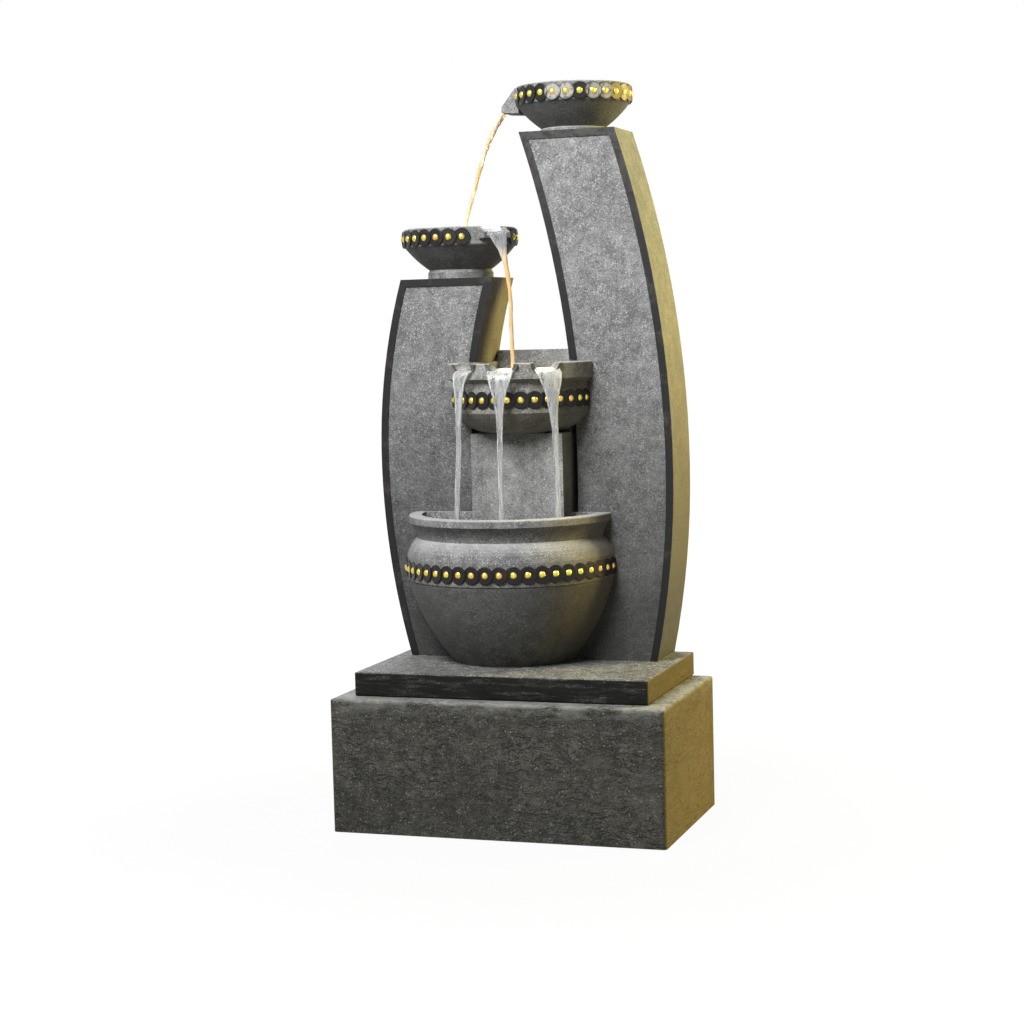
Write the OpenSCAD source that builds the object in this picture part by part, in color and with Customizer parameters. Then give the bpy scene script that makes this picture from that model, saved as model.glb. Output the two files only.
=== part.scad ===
// Tiered garden fountain on a plinth. Two curved columns carry three upper bowls, and a half-round
// basin collects the water. +Z is up, +Y is the back, and the origin is the middle of the plinth's
// resting face.

/* [Plinth] */
// Width of the plinth
plinth_w = 566; // [500:1:640]
// Depth of the plinth
plinth_d = 334; // [320:1:400]
// Height of the plinth
plinth_h = 222; // [212:1:280]
// Thickness of the plinth's walls and deck
plinth_wall = 10; // [8:0.5:14]
// Radius of the plinth's worn edges
plinth_edge_r = 7; // [3:0.5:12]
// Side of the square posts in the plinth's corners
post_w = 22; // [18:1:30]
// Thickness of the tray that closes the plinth from below
tray_t = 6; // [5:0.5:10]

/* [Slab] */
// How far the slab is set back at each side
slab_side_inset = 33; // [20:1:40]
// How far the slab is set back at the front
slab_front_inset = 30; // [16:1:36]
// Height of the slab
slab_h = 40; // [34:1:56]
// Thickness of the slab's walls and top
slab_wall = 10; // [8:0.5:14]
// Radius of the slab's worn edges
slab_edge_r = 4; // [2:0.5:7]

/* [Columns] */
// Depth of both columns, measured forward from the plinth's back face
column_d = 114; // [112:1:124]
// Width of both columns
column_w = 164; // [160:1:180]
// Wall thickness of the columns
column_wall = 9; // [7:0.5:11]
// Thickness of the back panels
panel_t = 6; // [4:0.5:8]
// Width of the ledge that the back panels rest on
ledge_w = 8; // [7:0.5:12]
// Height of the tall column
tall_h = 881.2; // [840:0.2:940]
// Sideways reach of the tall column at its widest
tall_reach = 249; // [245:1:256]
// Height of the tall column's widest point above the slab
tall_wide_h = 315; // [290:1:340]
// Radius of the tall column's curve above its widest point
tall_upper_r = 1845; // [1750:5:2200]
// Radius of the tall column's curve below its widest point
tall_lower_r = 1530; // [1450:5:1800]
// Height of the short column
short_h = 644; // [610:1:680]
// Sideways reach of the short column at its widest
short_reach = 266; // [262:1:272]
// Height of the short column's widest point above the slab
short_wide_h = 343; // [320:1:370]
// Radius of the short column's curve above its widest point
short_upper_r = 1040; // [1000:5:1300]
// Radius of the short column's curve below its widest point
short_lower_r = 1307; // [1250:5:1600]
// Width of the black border strips
border_w = 12.5; // [8:0.5:14]
// Thickness of the black border strips
border_t = 2; // [1.5:0.1:3]

/* [Pilaster and web] */
// Width of the pilaster
pilaster_w = 160; // [150:1:166]
// How far the pilaster stands ahead of the columns
pilaster_proud = 50; // [40:1:58]
// Height of the pilaster's top above the slab
pilaster_h = 383; // [370:1:390]
// Height above the slab at which the pilaster's proud part ends, inside the bottom bowl
pilaster_dip = 172; // [160:1:190]
// Thickness of the web between the columns
web_t = 12; // [10:0.5:16]
// Rise of the web above the middle bowl's rim
web_rise = 19; // [8:1:39]

/* [Upper bowls] */
// Outer radius of the top and second bowls
bowl_r = 95.5; // [90:0.5:104]
// Height of the straight wall of these bowls
bowl_wall_h = 30; // [29:0.5:38]
// Height of their cone
bowl_cone_h = 40; // [34:0.5:46]
// Radius of their neck
bowl_neck_r = 53; // [48:0.5:55]
// Radius of their collar
bowl_collar_r = 56; // [54:0.5:57]
// Height of the top bowl's collar
top_collar_h = 6; // [4:0.5:10]
// Height of the second bowl's collar
second_collar_h = 15; // [14:0.5:24]
// Wall thickness of all bowls
bowl_wall = 8; // [7:0.5:10]
// Height of the floor inside the top and second bowls above the collar
bowl_floor_h = 14; // [12:0.5:18]
// Width of the channel in the pouring lips of the top and second bowls
lip_w = 42; // [34:1:50]
// Depth of the notch that the top and middle bowls' lips start from
notch_depth = 13; // [10:0.5:16]
// Depth of the notch that the second bowl's lip starts from
second_notch_depth = 8; // [6:0.5:10]
// Reach of the top bowl's lip past its wall
top_lip_reach = 22; // [16:1:36]
// Fall of the top bowl's lip
top_lip_fall = 24; // [18:1:30]
// Reach of the second bowl's lip past its wall
second_lip_reach = 13; // [8:1:20]
// Fall of the second bowl's lip
second_lip_fall = 9; // [6:1:12]

/* [Middle bowl] */
// Outer radius of the middle bowl's wall
mid_r = 114; // [108:0.5:118]
// Radius of its rim
mid_rim_r = 124; // [120:0.5:130]
// Height of its rim
mid_rim_h = 26; // [22:1:30]
// Height of the straight wall under the rim
mid_wall_h = 56; // [52:1:60]
// Height of its belly
mid_belly_h = 36; // [30:1:40]
// Width of the channel in its three lips
mid_lip_w = 40; // [30:1:44]
// Reach of the three lips past the rim
mid_lip_reach = 8; // [5:0.5:12]
// Fall of the three lips
mid_lip_fall = 8; // [5:0.5:10]
// Width of the basin that runs back between the columns
mid_back_w = 162; // [158:1:163]

/* [Bottom bowl] */
// Outer radius of the bottom bowl's band
base_r = 178; // [172:0.5:184]
// Radius of its rim
base_rim_r = 174; // [168:0.5:180]
// Height of its rim's upright edge
base_rim_h = 12; // [10:0.5:16]
// Radius of its throat, under the rim
base_throat_r = 160; // [154:0.5:166]
// Radius of its foot
base_foot_r = 103; // [98:1:110]
// Height of the bottom bowl
base_bowl_h = 249; // [244:1:256]
// Height of the band's middle above the slab
base_band_h = 161; // [156:1:166]

/* [Discs and studs] */
// Radius of the lapping discs
disc_r = 14.5; // [12:0.5:15]
// Thickness of the lapping discs
disc_t = 2.4; // [1.8:0.1:3]
// Radius of the studs
stud_r = 5.5; // [4:0.25:6.5]
// Height of the studs' domes
stud_h = 3; // [2:0.25:4]

/* [Reservoir] */
// Room between the tub and the plinth's side walls
tub_side_room = 73; // [68:1:83]
// Room between the tub and the plinth's front wall
tub_front_room = 27; // [20:1:30]
// Room between the tub and the plinth's back wall
tub_back_room = 47; // [44:1:50]
// Height of the tub
tub_h = 150; // [140:1:160]
// Wall thickness of the tub
tub_wall = 3; // [2.5:0.5:4]
// Radius of the bore of the return pipe
pipe_bore_r = 12; // [10:0.5:13]
// Radius of the outside of the return pipe
pipe_r = 15; // [14.5:0.5:17]
// Radius of the drain spigot
spigot_r = 13; // [12:0.5:15]
// Radius of the drain plug's stem
plug_r = 9; // [7:0.5:10]
// Length of the drain plug's stem
plug_stem = 26; // [20:1:30]

/* [Pump] */
// Side of the pump's square section
pump_w = 60; // [56:1:66]
// Length of the pump's motor housing
pump_motor_l = 44; // [40:1:50]
// Length of the strainer cover
strainer_l = 46; // [44:1:48]
// Outer radius of the impeller
impeller_r = 16; // [13:0.5:17]
// Radius of the impeller's shaft
shaft_r = 2; // [1.5:0.25:2.5]
// Outer radius of the riser hose
hose_r = 8; // [7:0.5:9]
// Radius of the flow dial
dial_r = 9; // [7:0.5:11]

/* [Access door] */
// Width of the access door's opening
door_w = 180; // [150:1:190]
// Height of the access door's opening
door_h = 130; // [120:1:134]
// Height of the opening's lower edge above the ground
door_sill = 45; // [40:1:48]
// Thickness of the door
door_t = 5; // [4:0.5:6]
// Thickness of the door's seal
seal_t = 1; // [0.8:0.1:1.5]
// Radius of the hinges' knuckles
knuckle_r = 4; // [3.5:0.25:5]
// Radius of the hinges' pins
pin_r = 1.6; // [1.25:0.05:2]
// Height of each hinge
hinge_h = 36; // [30:1:40]
// Radius of the latch knob
knob_r = 13; // [10:0.5:15]

/* [Lights and leads] */
// Radius of the lamp bodies
lamp_r = 13; // [11:0.5:14]
// Height of the lamp bodies
lamp_h = 8; // [6:0.5:10]
// Radius of the light leads
lead_r = 2.5; // [2:0.25:3]
// Width of the transformer box
box_w = 40; // [36:1:42]
// Length of the transformer box
box_l = 110; // [90:1:120]
// Height of the transformer box
box_h = 70; // [60:1:74]

/* [Fasteners] */
// Radius of the screws' heads
head_r = 3.6; // [3:0.1:4]
// Height of the screws' heads
head_h = 2.2; // [1.8:0.1:2.6]
// Radius of the screws' shanks
shank_r = 1.6; // [1.4:0.1:1.8]
// Length of the screws' shanks
shank_l = 9; // [8:0.5:9.5]

/* [Hidden] */
$fn = 96;

// Clearances and the one overrun that all cuts share
over = 1;
seat = 0.1;
gap = 0.4;
run_fit = 0.05;
hole_gap = 0.5;

// Counts of steps along the arcs
short_steps = 4;
arc_steps = 6;
belly_steps = 8;
base_steps = 12;

// Levels and planes
base_top = plinth_h + slab_h;
back_y = plinth_d / 2;
front_y = back_y - column_d;
deck_z = plinth_h - plinth_wall;
mid_y = back_y - column_d / 2;

// Colours
stone = "#7d7d7a";
black = "#1c1b1a";
gold = "#c9a83c";
plastic = "#2b2d30";
rubber = "#151515";
steel = "#b9bcc0";
clear_hose = "#9fb4b8";

// A block with all its edges rounded, built from three rounded outlines
module rounded_square(a, b, r) {
  translate([r, 0]) square([a - 2 * r, b]);
  translate([0, r]) square([a, b - 2 * r]);
  for (x = [r, a - r], y = [r, b - r]) translate([x, y]) circle(r = r);
}
module rounded_block(a, b, c, r) {
  intersection() {
    linear_extrude(c) rounded_square(a, b, r);
    rotate([90, 0, 90]) linear_extrude(a) rounded_square(b, c, r);
    translate([0, b, 0]) rotate([90, 0, 0]) linear_extrude(b) rounded_square(a, c, r);
  }
}

// A box given by its two corners
module box(lo, hi) {
  translate(lo) cube(hi - lo);
}

// A cylinder from one point along +Y
module rod_y(p, r, l) {
  translate(p) rotate([-90, 0, 0]) cylinder(r = r, h = l);
}

// Points along a circular arc from p to q, bulging left of the way by sag
function bow(p, q, sag, n) =
  let (d = q - p, c = norm(d), t = d / c, l = [-t[1], t[0]],
       r = (c * c / 4 + sag * sag) / (2 * sag), m = (p + q) / 2 + l * (sag - r),
       h = asin(c / (2 * abs(r))) * sign(r))
  [for (i = [0 : n - 1]) m + r * (l * cos(h * (2 * i / n - 1)) + t * sin(h * (2 * i / n - 1)))];

// A pan-head screw: the head's seat is at the origin and the shank runs along -Z
module screw() {
  cylinder(r = head_r, h = head_h);
  translate([0, 0, -shank_l]) cylinder(r = shank_r, h = shank_l + head_h / 2);
}
module screw_hole() {
  translate([0, 0, -shank_l - gap]) cylinder(r = shank_r + run_fit, h = shank_l + gap + over);
}
// The same, pointing forward from a back face
module screw_y(p) {
  translate(p) rotate([-90, 0, 0]) screw();
}
module screw_y_hole(p) {
  translate(p) rotate([-90, 0, 0]) screw_hole();
}

// Columns: the outer edge is two arcs that meet at the widest point, and the inner edge is the same
// curve moved in by the column's width
column_steps = 22;
TALL = [tall_reach, tall_wide_h, tall_upper_r, tall_lower_r, tall_h, 1];
SHORT = [short_reach, short_wide_h, short_upper_r, short_lower_r, short_h, -1];
function edge_x(c, h) =
  let (r = h > c[1] ? c[2] : c[3])
  c[0] - r + sqrt(r * r - (h - c[1]) * (h - c[1]));
// Middle of the column at height h, on its own side of the fountain
function middle_x(c, h) = c[5] * (edge_x(c, h) - column_w / 2);
function column_points(c, inset, low, top) = concat(
  [for (i = [0 : column_steps]) let (h = low + (top - low) * i / column_steps)
    [edge_x(c, h) - column_w + inset, h]],
  [for (i = [column_steps : -1 : 0]) let (h = low + (top - low) * i / column_steps)
    [edge_x(c, h) - inset, h]]);
module column_slice(c, inset, low, top, y, d) {
  mirror([c[5] < 0 ? 1 : 0, 0, 0])
    translate([0, y + d, base_top]) rotate([90, 0, 0])
      linear_extrude(d) polygon(column_points(c, inset, low, top));
}
panel_screw_shares = [0.06, 0.35, 0.65, 0.94];
// Seats of the back panel's screws, in the middle of the ledge
function panel_screw_points(c) =
  [for (s = panel_screw_shares, e = [0, 1])
    let (h = c[4] * s, inset = column_wall + ledge_w / 2)
    [c[5] * (edge_x(c, h) - (e == 0 ? inset : column_w - inset)), back_y, base_top + h]];
ledge_t = 6;
module column_shell(c) {
  difference() {
    column_slice(c, 0, 0, c[4], front_y, column_d);
    column_slice(c, column_wall, -over, c[4] - column_wall, front_y + column_wall,
      column_d - column_wall - panel_t - ledge_t);
    column_slice(c, column_wall + ledge_w, -over, c[4] - column_wall - ledge_w,
      back_y - panel_t - ledge_t - over, ledge_t + 2 * over);
    column_slice(c, column_wall, -over, c[4] - column_wall, back_y - panel_t, panel_t + over);
    for (p = panel_screw_points(c)) screw_y_hole(p);
  }
}
module column_back(c) {
  difference() {
    column_slice(c, column_wall + gap, gap, c[4] - column_wall - gap, back_y - panel_t, panel_t);
    for (p = panel_screw_points(c)) screw_y_hole(p);
  }
}
// The border runs up the inner edge from just over the middle bowl, along the top and down the
// outer edge
border_rise = 2;
mid_h = mid_belly_h + mid_wall_h + mid_rim_h;
web_h = pilaster_h + mid_h + web_rise;
border_end_h = pilaster_h + mid_h + border_rise;
module border(c) {
  difference() {
    column_slice(c, 0, 0, c[4], front_y - border_t, border_t);
    column_slice(c, border_w, -over, c[4] - border_w, front_y - border_t - over,
      border_t + 2 * over);
    mirror([c[5] < 0 ? 1 : 0, 0, 0])
      box([0, front_y - border_t - over, 0],
        [edge_x(c, 0) - column_w / 2, front_y + over, base_top + border_end_h]);
  }
}

// Places of the upper bowls, pilaster and lower bowls
top_bowl_shift = -4;
top_bowl_x = middle_x(TALL, tall_h) + top_bowl_shift;
top_bowl_z = base_top + tall_h;
second_bowl_shift = 6;
second_bowl_x = middle_x(SHORT, short_h) + second_bowl_shift;
second_bowl_z = base_top + short_h;
gap_mid_x = (tall_reach - short_reach) / 2;
pilaster_shift = 3;
pilaster_x = gap_mid_x + pilaster_shift;
mid_back_shift = 1;
mid_back_x = gap_mid_x + mid_back_shift;
mid_x = -9;
mid_z = base_top + pilaster_h;
base_x = -33;
top_lip_a = 180;
second_lip_a = -35;
mid_lip_a = -87;
mid_lip_step = 34;

module plinth_shell() {
  color(stone) difference() {
    translate([-plinth_w / 2, -plinth_d / 2, -plinth_edge_r])
      rounded_block(plinth_w, plinth_d, plinth_h + plinth_edge_r, plinth_edge_r);
    box([-plinth_w, -plinth_d, -plinth_h], [plinth_w, plinth_d, 0]);
    difference() {
      box([plinth_wall - plinth_w / 2, plinth_wall - plinth_d / 2, -over],
        [plinth_w / 2 - plinth_wall, plinth_d / 2 - plinth_wall, deck_z]);
      for (p = post_points()) box(
        [p[0] - post_w / 2, p[1] - post_w / 2, tray_t], [p[0] + post_w / 2, p[1] + post_w / 2, plinth_h]);
    }
    door_opening();
    for (p = deck_holes()) translate([p[0], p[1], deck_z - over])
      cylinder(r = p[2], h = plinth_wall + 2 * over);
    for (p = post_points()) translate([p[0], p[1], tray_t]) rotate([180, 0, 0]) screw_hole();
    rod_y([spigot_x, back_y - plinth_wall - over, spigot_z], spigot_r + hole_gap,
      plinth_wall + 2 * over);
    rod_y([grommet_x, back_y - plinth_wall - over, grommet_z], grommet_r,
      plinth_wall + 2 * over);
    for (p = leaf_screws(-1)) screw_y_hole(p);
  }
}
function post_points() =
  [for (sx = [-1, 1], sy = [-1, 1])
    [sx * (plinth_w / 2 - plinth_wall - post_w / 2), sy * (plinth_d / 2 - plinth_wall - post_w / 2)]];
module base_tray() {
  color(plastic) difference() {
    box([plinth_wall - plinth_w / 2 + gap, plinth_wall - plinth_d / 2 + gap, 0],
      [plinth_w / 2 - plinth_wall - gap, plinth_d / 2 - plinth_wall - gap, tray_t]);
    for (p = post_points()) {
      translate([p[0], p[1], tray_t]) rotate([180, 0, 0]) screw_hole();
      translate([p[0], p[1], -over]) cylinder(r = head_r + gap, h = head_h + gap + over);
      translate([p[0], p[1], -over]) cylinder(r = shank_r + run_fit, h = tray_t + 2 * over);
    }
  }
}

// Holes that the hose, the pipe and the leads need in the deck and the slab: x, y, radius
hose_shift = 4;
hose_room = 7;
hose_x = middle_x(TALL, 0) + hose_shift;
hose_y = front_y + column_wall + hose_r + hose_room;
lead_hole_r = 4;
lead_room = 30;
pipe_x = base_x;
pipe_ahead = 65;
pipe_y = front_y - pipe_ahead;
top_lead_x = hose_x - lead_room;
short_lead_x = middle_x(SHORT, 0);
mid_lead_ahead = 37;
mid_lead_y = back_y - web_t - mid_lead_ahead;
mid_lead_step = 30;
mid_lead_xs = [pilaster_x - mid_lead_step, pilaster_x + mid_lead_step];
function deck_holes() = concat(
  [[hose_x, hose_y, hose_r + hole_gap], [pipe_x, pipe_y, pipe_r + hole_gap],
   [top_lead_x, hose_y, lead_hole_r], [short_lead_x, hose_y, lead_hole_r]],
  [for (x = mid_lead_xs) [x, mid_lead_y, lead_hole_r]]);
module step_slab() {
  color(stone) difference() {
    translate([slab_side_inset - plinth_w / 2, slab_front_inset - plinth_d / 2, plinth_h])
      rounded_block(plinth_w - 2 * slab_side_inset, plinth_d - slab_front_inset, slab_h, slab_edge_r);
    box([slab_side_inset + slab_wall - plinth_w / 2, slab_front_inset + slab_wall - plinth_d / 2,
        plinth_h - over],
      [plinth_w / 2 - slab_side_inset - slab_wall, back_y - slab_wall, base_top - slab_wall]);
    for (p = deck_holes()) translate([p[0], p[1], plinth_h - over])
      cylinder(r = p[2], h = slab_h + 2 * over);
  }
}

module tall_column_shell() {
  color(stone) difference() {
    column_shell(TALL);
    translate([top_bowl_x, mid_y, top_bowl_z - column_wall - over])
      cylinder(r = nozzle_r + run_fit, h = column_wall + 2 * over);
    translate([top_bowl_x - lamp_offset, mid_y, top_bowl_z - column_wall - over])
      cylinder(r = lead_hole_r, h = column_wall + 2 * over);
  }
}
module tall_column_back() {
  color(stone) column_back(TALL);
}
module short_column_shell() {
  color(stone) difference() {
    column_shell(SHORT);
    translate([second_bowl_x, mid_y, second_bowl_z - column_wall - over])
      cylinder(r = bolt_r + run_fit, h = column_wall + 2 * over);
    translate([second_bowl_x - lamp_offset, mid_y, second_bowl_z - column_wall - over])
      cylinder(r = lead_hole_r, h = column_wall + 2 * over);
  }
}
module short_column_back() {
  color(stone) column_back(SHORT);
}
module column_borders() {
  color(black) {
    border(TALL);
    border(SHORT);
  }
}

// The space between the columns' inner edges, up to a height above the slab
function between_points(inset, low, top) = concat(
  [for (i = [0 : column_steps]) let (h = low + (top - low) * i / column_steps)
    [column_w - edge_x(SHORT, h) + gap + inset, h]],
  [for (i = [column_steps : -1 : 0]) let (h = low + (top - low) * i / column_steps)
    [edge_x(TALL, h) - column_w - gap - inset, h]]);
module between(inset, low, top, y, d) {
  translate([0, y + d, base_top]) rotate([90, 0, 0])
    linear_extrude(d) polygon(between_points(inset, low, top));
}
// The pilaster's rear part fits between the columns, and its proud part stands on their front plane
pilaster_wall = 8;
module centre_pilaster() {
  x0 = pilaster_x - pilaster_w / 2;
  x1 = pilaster_x + pilaster_w / 2;
  web_y = back_y - web_t;
  color(stone) difference() {
    union() {
      intersection() {
        box([x0, front_y, base_top], [x1, web_y, mid_z]);
        between(0, -over, pilaster_h + over, front_y - over, web_y - front_y + 2 * over);
      }
      box([x0, front_y - pilaster_proud, base_top + pilaster_dip], [x1, front_y + over, mid_z]);
    }
    intersection() {
      box([x0 + pilaster_wall, front_y + pilaster_wall, base_top - over],
        [x1 - pilaster_wall, web_y + over, mid_z - pilaster_wall]);
      between(pilaster_wall, -2 * over, pilaster_h, front_y, web_y - front_y + 2 * over);
    }
    box([x0 + pilaster_wall, front_y - pilaster_proud + pilaster_wall,
        base_top + pilaster_dip + pilaster_wall],
      [x1 - pilaster_wall, front_y + 2 * pilaster_wall, mid_z - pilaster_wall]);
    for (x = mid_lead_xs) translate([x, mid_lead_y, mid_z - pilaster_wall - over])
      cylinder(r = lead_hole_r, h = pilaster_wall + 2 * over);
    for (p = web_screw_points()) screw_y_hole(p + [0, web_screw_sink, 0]);
  }
}
// The web's screws go through it into the pilaster's side walls
web_screw_sink = -6;
web_screw_shares = [0.12, 0.5, 0.88];
function wall_mid_x(e, h) = e < 0
  ? max(pilaster_x - pilaster_w / 2, column_w - edge_x(SHORT, h) + gap) + pilaster_wall / 2
  : min(pilaster_x + pilaster_w / 2, edge_x(TALL, h) - column_w - gap) - pilaster_wall / 2;
function web_screw_points() =
  [for (s = web_screw_shares, e = [-1, 1])
    [wall_mid_x(e, pilaster_h * s), back_y, base_top + pilaster_h * s]];
module back_web() {
  color(stone) difference() {
    between(0, 0, web_h, back_y - web_t, web_t);
    for (p = web_screw_points()) {
      screw_y_hole(p + [0, web_screw_sink, 0]);
      rod_y(p + [0, web_screw_sink, 0], head_r + gap, over - web_screw_sink);
    }
  }
}
module panel_screws() {
  color(steel) {
    for (c = [TALL, SHORT], p = panel_screw_points(c)) screw_y(p);
    for (p = web_screw_points()) screw_y(p + [0, web_screw_sink, 0]);
    for (p = post_points()) translate([p[0], p[1], head_h]) rotate([180, 0, 0]) screw();
    for (p = leaf_screws(-1)) screw_y(p + [0, leaf_t, 0]);
  }
}

// Top and second bowls: one profile over a collar of its own height
rim_round = 3;
rim_sag = 0.9;
knee_sag = 1.2;
cone_sag = 2;
floor_inset = 2;
function bowl_profile(collar_h) =
  let (knee = collar_h + bowl_cone_h, rim = knee + bowl_wall_h, inner = bowl_r - bowl_wall,
       floor_r = bowl_neck_r - floor_inset, floor_z = collar_h + bowl_floor_h)
  concat([[0, 0], [bowl_collar_r, 0], [bowl_collar_r, collar_h - collar_h / 3]],
    bow([bowl_neck_r, collar_h], [bowl_r - rim_round, knee - rim_round], -cone_sag, arc_steps),
    bow([bowl_r - rim_round, knee - rim_round], [bowl_r, knee + rim_round], -knee_sag, short_steps),
    [[bowl_r, knee + rim_round], [bowl_r, rim - rim_round]],
    bow([bowl_r, rim - rim_round], [bowl_r - rim_round, rim], -rim_sag, short_steps),
    [[bowl_r - rim_round, rim], [inner, rim - rim_round], [inner, knee + rim_round]],
    bow([inner, knee + rim_round], [floor_r, floor_z], -cone_sag, arc_steps),
    [[floor_r, floor_z], [0, floor_z]]);
// A pouring lip: a wedge under a sloping channel, pointing along +X before it is turned
cheek = 6;
lip_under = 5;
lip_drop = 0.8;
module lip_wedge(start_r, tip_r, rim, depth, fall, w) {
  low = rim - depth;
  translate([0, w / 2 + cheek, 0]) rotate([90, 0, 0]) linear_extrude(w + 2 * cheek) polygon([
    [start_r, rim - lip_drop], [start_r + cheek, rim - lip_drop], [tip_r, low - fall + cheek],
    [tip_r, low - fall - cheek / 2], [start_r, low - fall - lip_under]]);
}
module lip_channel(start_r, tip_r, rim, depth, fall, w) {
  low = rim - depth;
  translate([0, w / 2, 0]) rotate([90, 0, 0]) linear_extrude(w) polygon([
    [start_r - 2 * bowl_wall, rim + over], [start_r - 2 * bowl_wall, low], [start_r, low],
    [tip_r + over, low - fall], [tip_r + over, rim + over]]);
}
// A rounded lip: a sloping round channel of width w and the same depth as the notch
module scoop(start_r, tip_r, rim, depth, fall, w, extra) {
  channel_r = (w * w / 4 + depth * depth) / (2 * depth);
  slope = atan(fall / (tip_r - start_r));
  translate([start_r, 0, rim - depth + channel_r]) rotate([0, 90 + slope, 0])
    translate([0, 0, -extra]) cylinder(r = channel_r + extra, h = (tip_r - start_r) + extra);
}
module small_bowl(collar_h, a, depth, reach, fall) {
  rim = collar_h + bowl_cone_h + bowl_wall_h;
  difference() {
    union() {
      rotate_extrude() polygon(bowl_profile(collar_h));
      rotate([0, 0, a]) difference() {
        lip_wedge(bowl_r - bowl_wall, bowl_r + reach, rim, depth, fall, lip_w);
        cylinder(r = bowl_r - bowl_wall / 2, h = rim + over);
      }
    }
    rotate([0, 0, a])
      lip_channel(bowl_r - bowl_wall / 2, bowl_r + reach, rim, depth, fall, lip_w);
    translate([-lamp_offset, 0, -over]) cylinder(r = lead_hole_r, h = collar_h + bowl_cone_h);
  }
}
module top_bowl() {
  color(stone) translate([top_bowl_x, mid_y, top_bowl_z]) difference() {
    small_bowl(top_collar_h, top_lip_a, notch_depth, top_lip_reach, top_lip_fall);
    translate([0, 0, -over]) cylinder(r = nozzle_r + run_fit, h = bowl_cone_h);
  }
}
module second_bowl() {
  color(stone) translate([second_bowl_x, mid_y, second_bowl_z]) difference() {
    small_bowl(second_collar_h, second_lip_a, second_notch_depth, second_lip_reach,
      second_lip_fall);
    translate([0, 0, -over]) cylinder(r = bolt_r + run_fit, h = bowl_cone_h);
  }
}

// Middle bowl: half-round ahead of the columns, with a basin that runs back to the web
mid_floor_h = mid_belly_h;
mid_foot_r = 52;
mid_belly_sag = 9;
mid_lips = [-1, 0, 1];
mid_lip_start = mid_rim_r - bowl_wall;
mid_lip_tip = mid_rim_r + mid_lip_reach;
function mid_profile() =
  let (lip_low = mid_belly_h + mid_wall_h)
  concat([[0, 0], [mid_foot_r, 0]],
    bow([mid_foot_r, 0], [mid_r, mid_belly_h], -mid_belly_sag, belly_steps),
    [[mid_r, mid_belly_h], [mid_r, lip_low - mid_rim_h / 4], [mid_rim_r, lip_low],
     [mid_rim_r, mid_h - rim_round]],
    bow([mid_rim_r, mid_h - rim_round], [mid_rim_r - rim_round, mid_h], -rim_sag, short_steps),
    [[mid_rim_r - rim_round, mid_h], [0, mid_h]]);
module middle_bowl() {
  bx0 = mid_back_x - mid_back_w / 2;
  bx1 = mid_back_x + mid_back_w / 2;
  by1 = back_y - web_t - gap;
  inner_y = front_y - gap - bowl_wall;
  color(stone) difference() {
    union() {
      difference() {
        translate([mid_x, front_y, mid_z]) union() {
          rotate_extrude() polygon(mid_profile());
          for (i = mid_lips) rotate([0, 0, mid_lip_a + i * mid_lip_step]) difference() {
            scoop(mid_lip_start, mid_lip_tip, mid_h, notch_depth, mid_lip_fall, mid_lip_w, cheek);
            cylinder(r = mid_rim_r - bowl_wall / 2, h = 2 * mid_h);
            translate([0, -mid_r, mid_h - lip_drop]) cube([2 * mid_r, 2 * mid_r, mid_h]);
          }
        }
        box([-plinth_w, front_y - gap, mid_z - over], [plinth_w, plinth_d, mid_z + mid_h + over]);
      }
      intersection() {
        box([bx0, front_y - 2 * gap, mid_z], [bx1, by1, mid_z + mid_h]);
        between(0, pilaster_h - over, pilaster_h + mid_h + over, front_y - over,
          by1 - front_y + 2 * over);
      }
    }
    difference() {
      translate([mid_x, front_y, mid_z + mid_floor_h])
        cylinder(r = mid_r - bowl_wall, h = mid_h);
      box([-plinth_w, inner_y, mid_z - over], [plinth_w, plinth_d, mid_z + 2 * mid_h]);
    }
    intersection() {
      box([bx0 + bowl_wall, inner_y - over, mid_z + mid_floor_h],
        [bx1 - bowl_wall, by1 - bowl_wall, mid_z + mid_h + over]);
      between(bowl_wall, pilaster_h, pilaster_h + mid_h + 2 * over, inner_y - 2 * over,
        by1 - inner_y + 2 * over);
    }
    translate([mid_x, front_y, mid_z])
      for (i = mid_lips) rotate([0, 0, mid_lip_a + i * mid_lip_step]) {
        scoop(mid_lip_start, mid_lip_tip + over, mid_h, notch_depth, mid_lip_fall, mid_lip_w, 0);
        scoop(mid_lip_start - 2 * bowl_wall, mid_lip_start + over, mid_h, notch_depth, 0,
          mid_lip_w, 0);
      }
    for (x = mid_lead_xs) translate([x, mid_lead_y, mid_z - over])
      cylinder(r = lead_hole_r, h = mid_h);
  }
}

// Bottom bowl: half-round, with a flat back against the columns that is notched for the pilaster
base_floor_t = 12;
throat_h = 38;
throat_sag = 3;
base_sag = 9;
base_inner_sag = 16;
band_margin = 5;
band_half_h = disc_r + band_margin;
groove_depth = 2;
groove_h = 4;
groove_edge = 1;
function base_outer() =
  let (band_low = base_band_h - band_half_h, band_top = base_band_h + band_half_h,
       rim_low = base_bowl_h - base_rim_h)
  concat([[base_foot_r, 0]],
    bow([base_foot_r, 0], [base_r - groove_depth, band_low - groove_h], -base_sag, base_steps),
    [[base_r - groove_depth, band_low - groove_h], [base_r - groove_depth, band_low - groove_edge],
     [base_r, band_low], [base_r, band_top]],
    bow([base_r, band_top], [base_throat_r, base_bowl_h - throat_h], -throat_sag, arc_steps),
    bow([base_throat_r, base_bowl_h - throat_h], [base_rim_r, rim_low], throat_sag, arc_steps),
    [[base_rim_r, rim_low], [base_rim_r, base_bowl_h - rim_round]],
    bow([base_rim_r, base_bowl_h - rim_round], [base_rim_r - rim_round, base_bowl_h], -rim_sag,
      short_steps),
    [[base_rim_r - rim_round, base_bowl_h]]);
base_inner_r = base_throat_r - bowl_wall;
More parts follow.
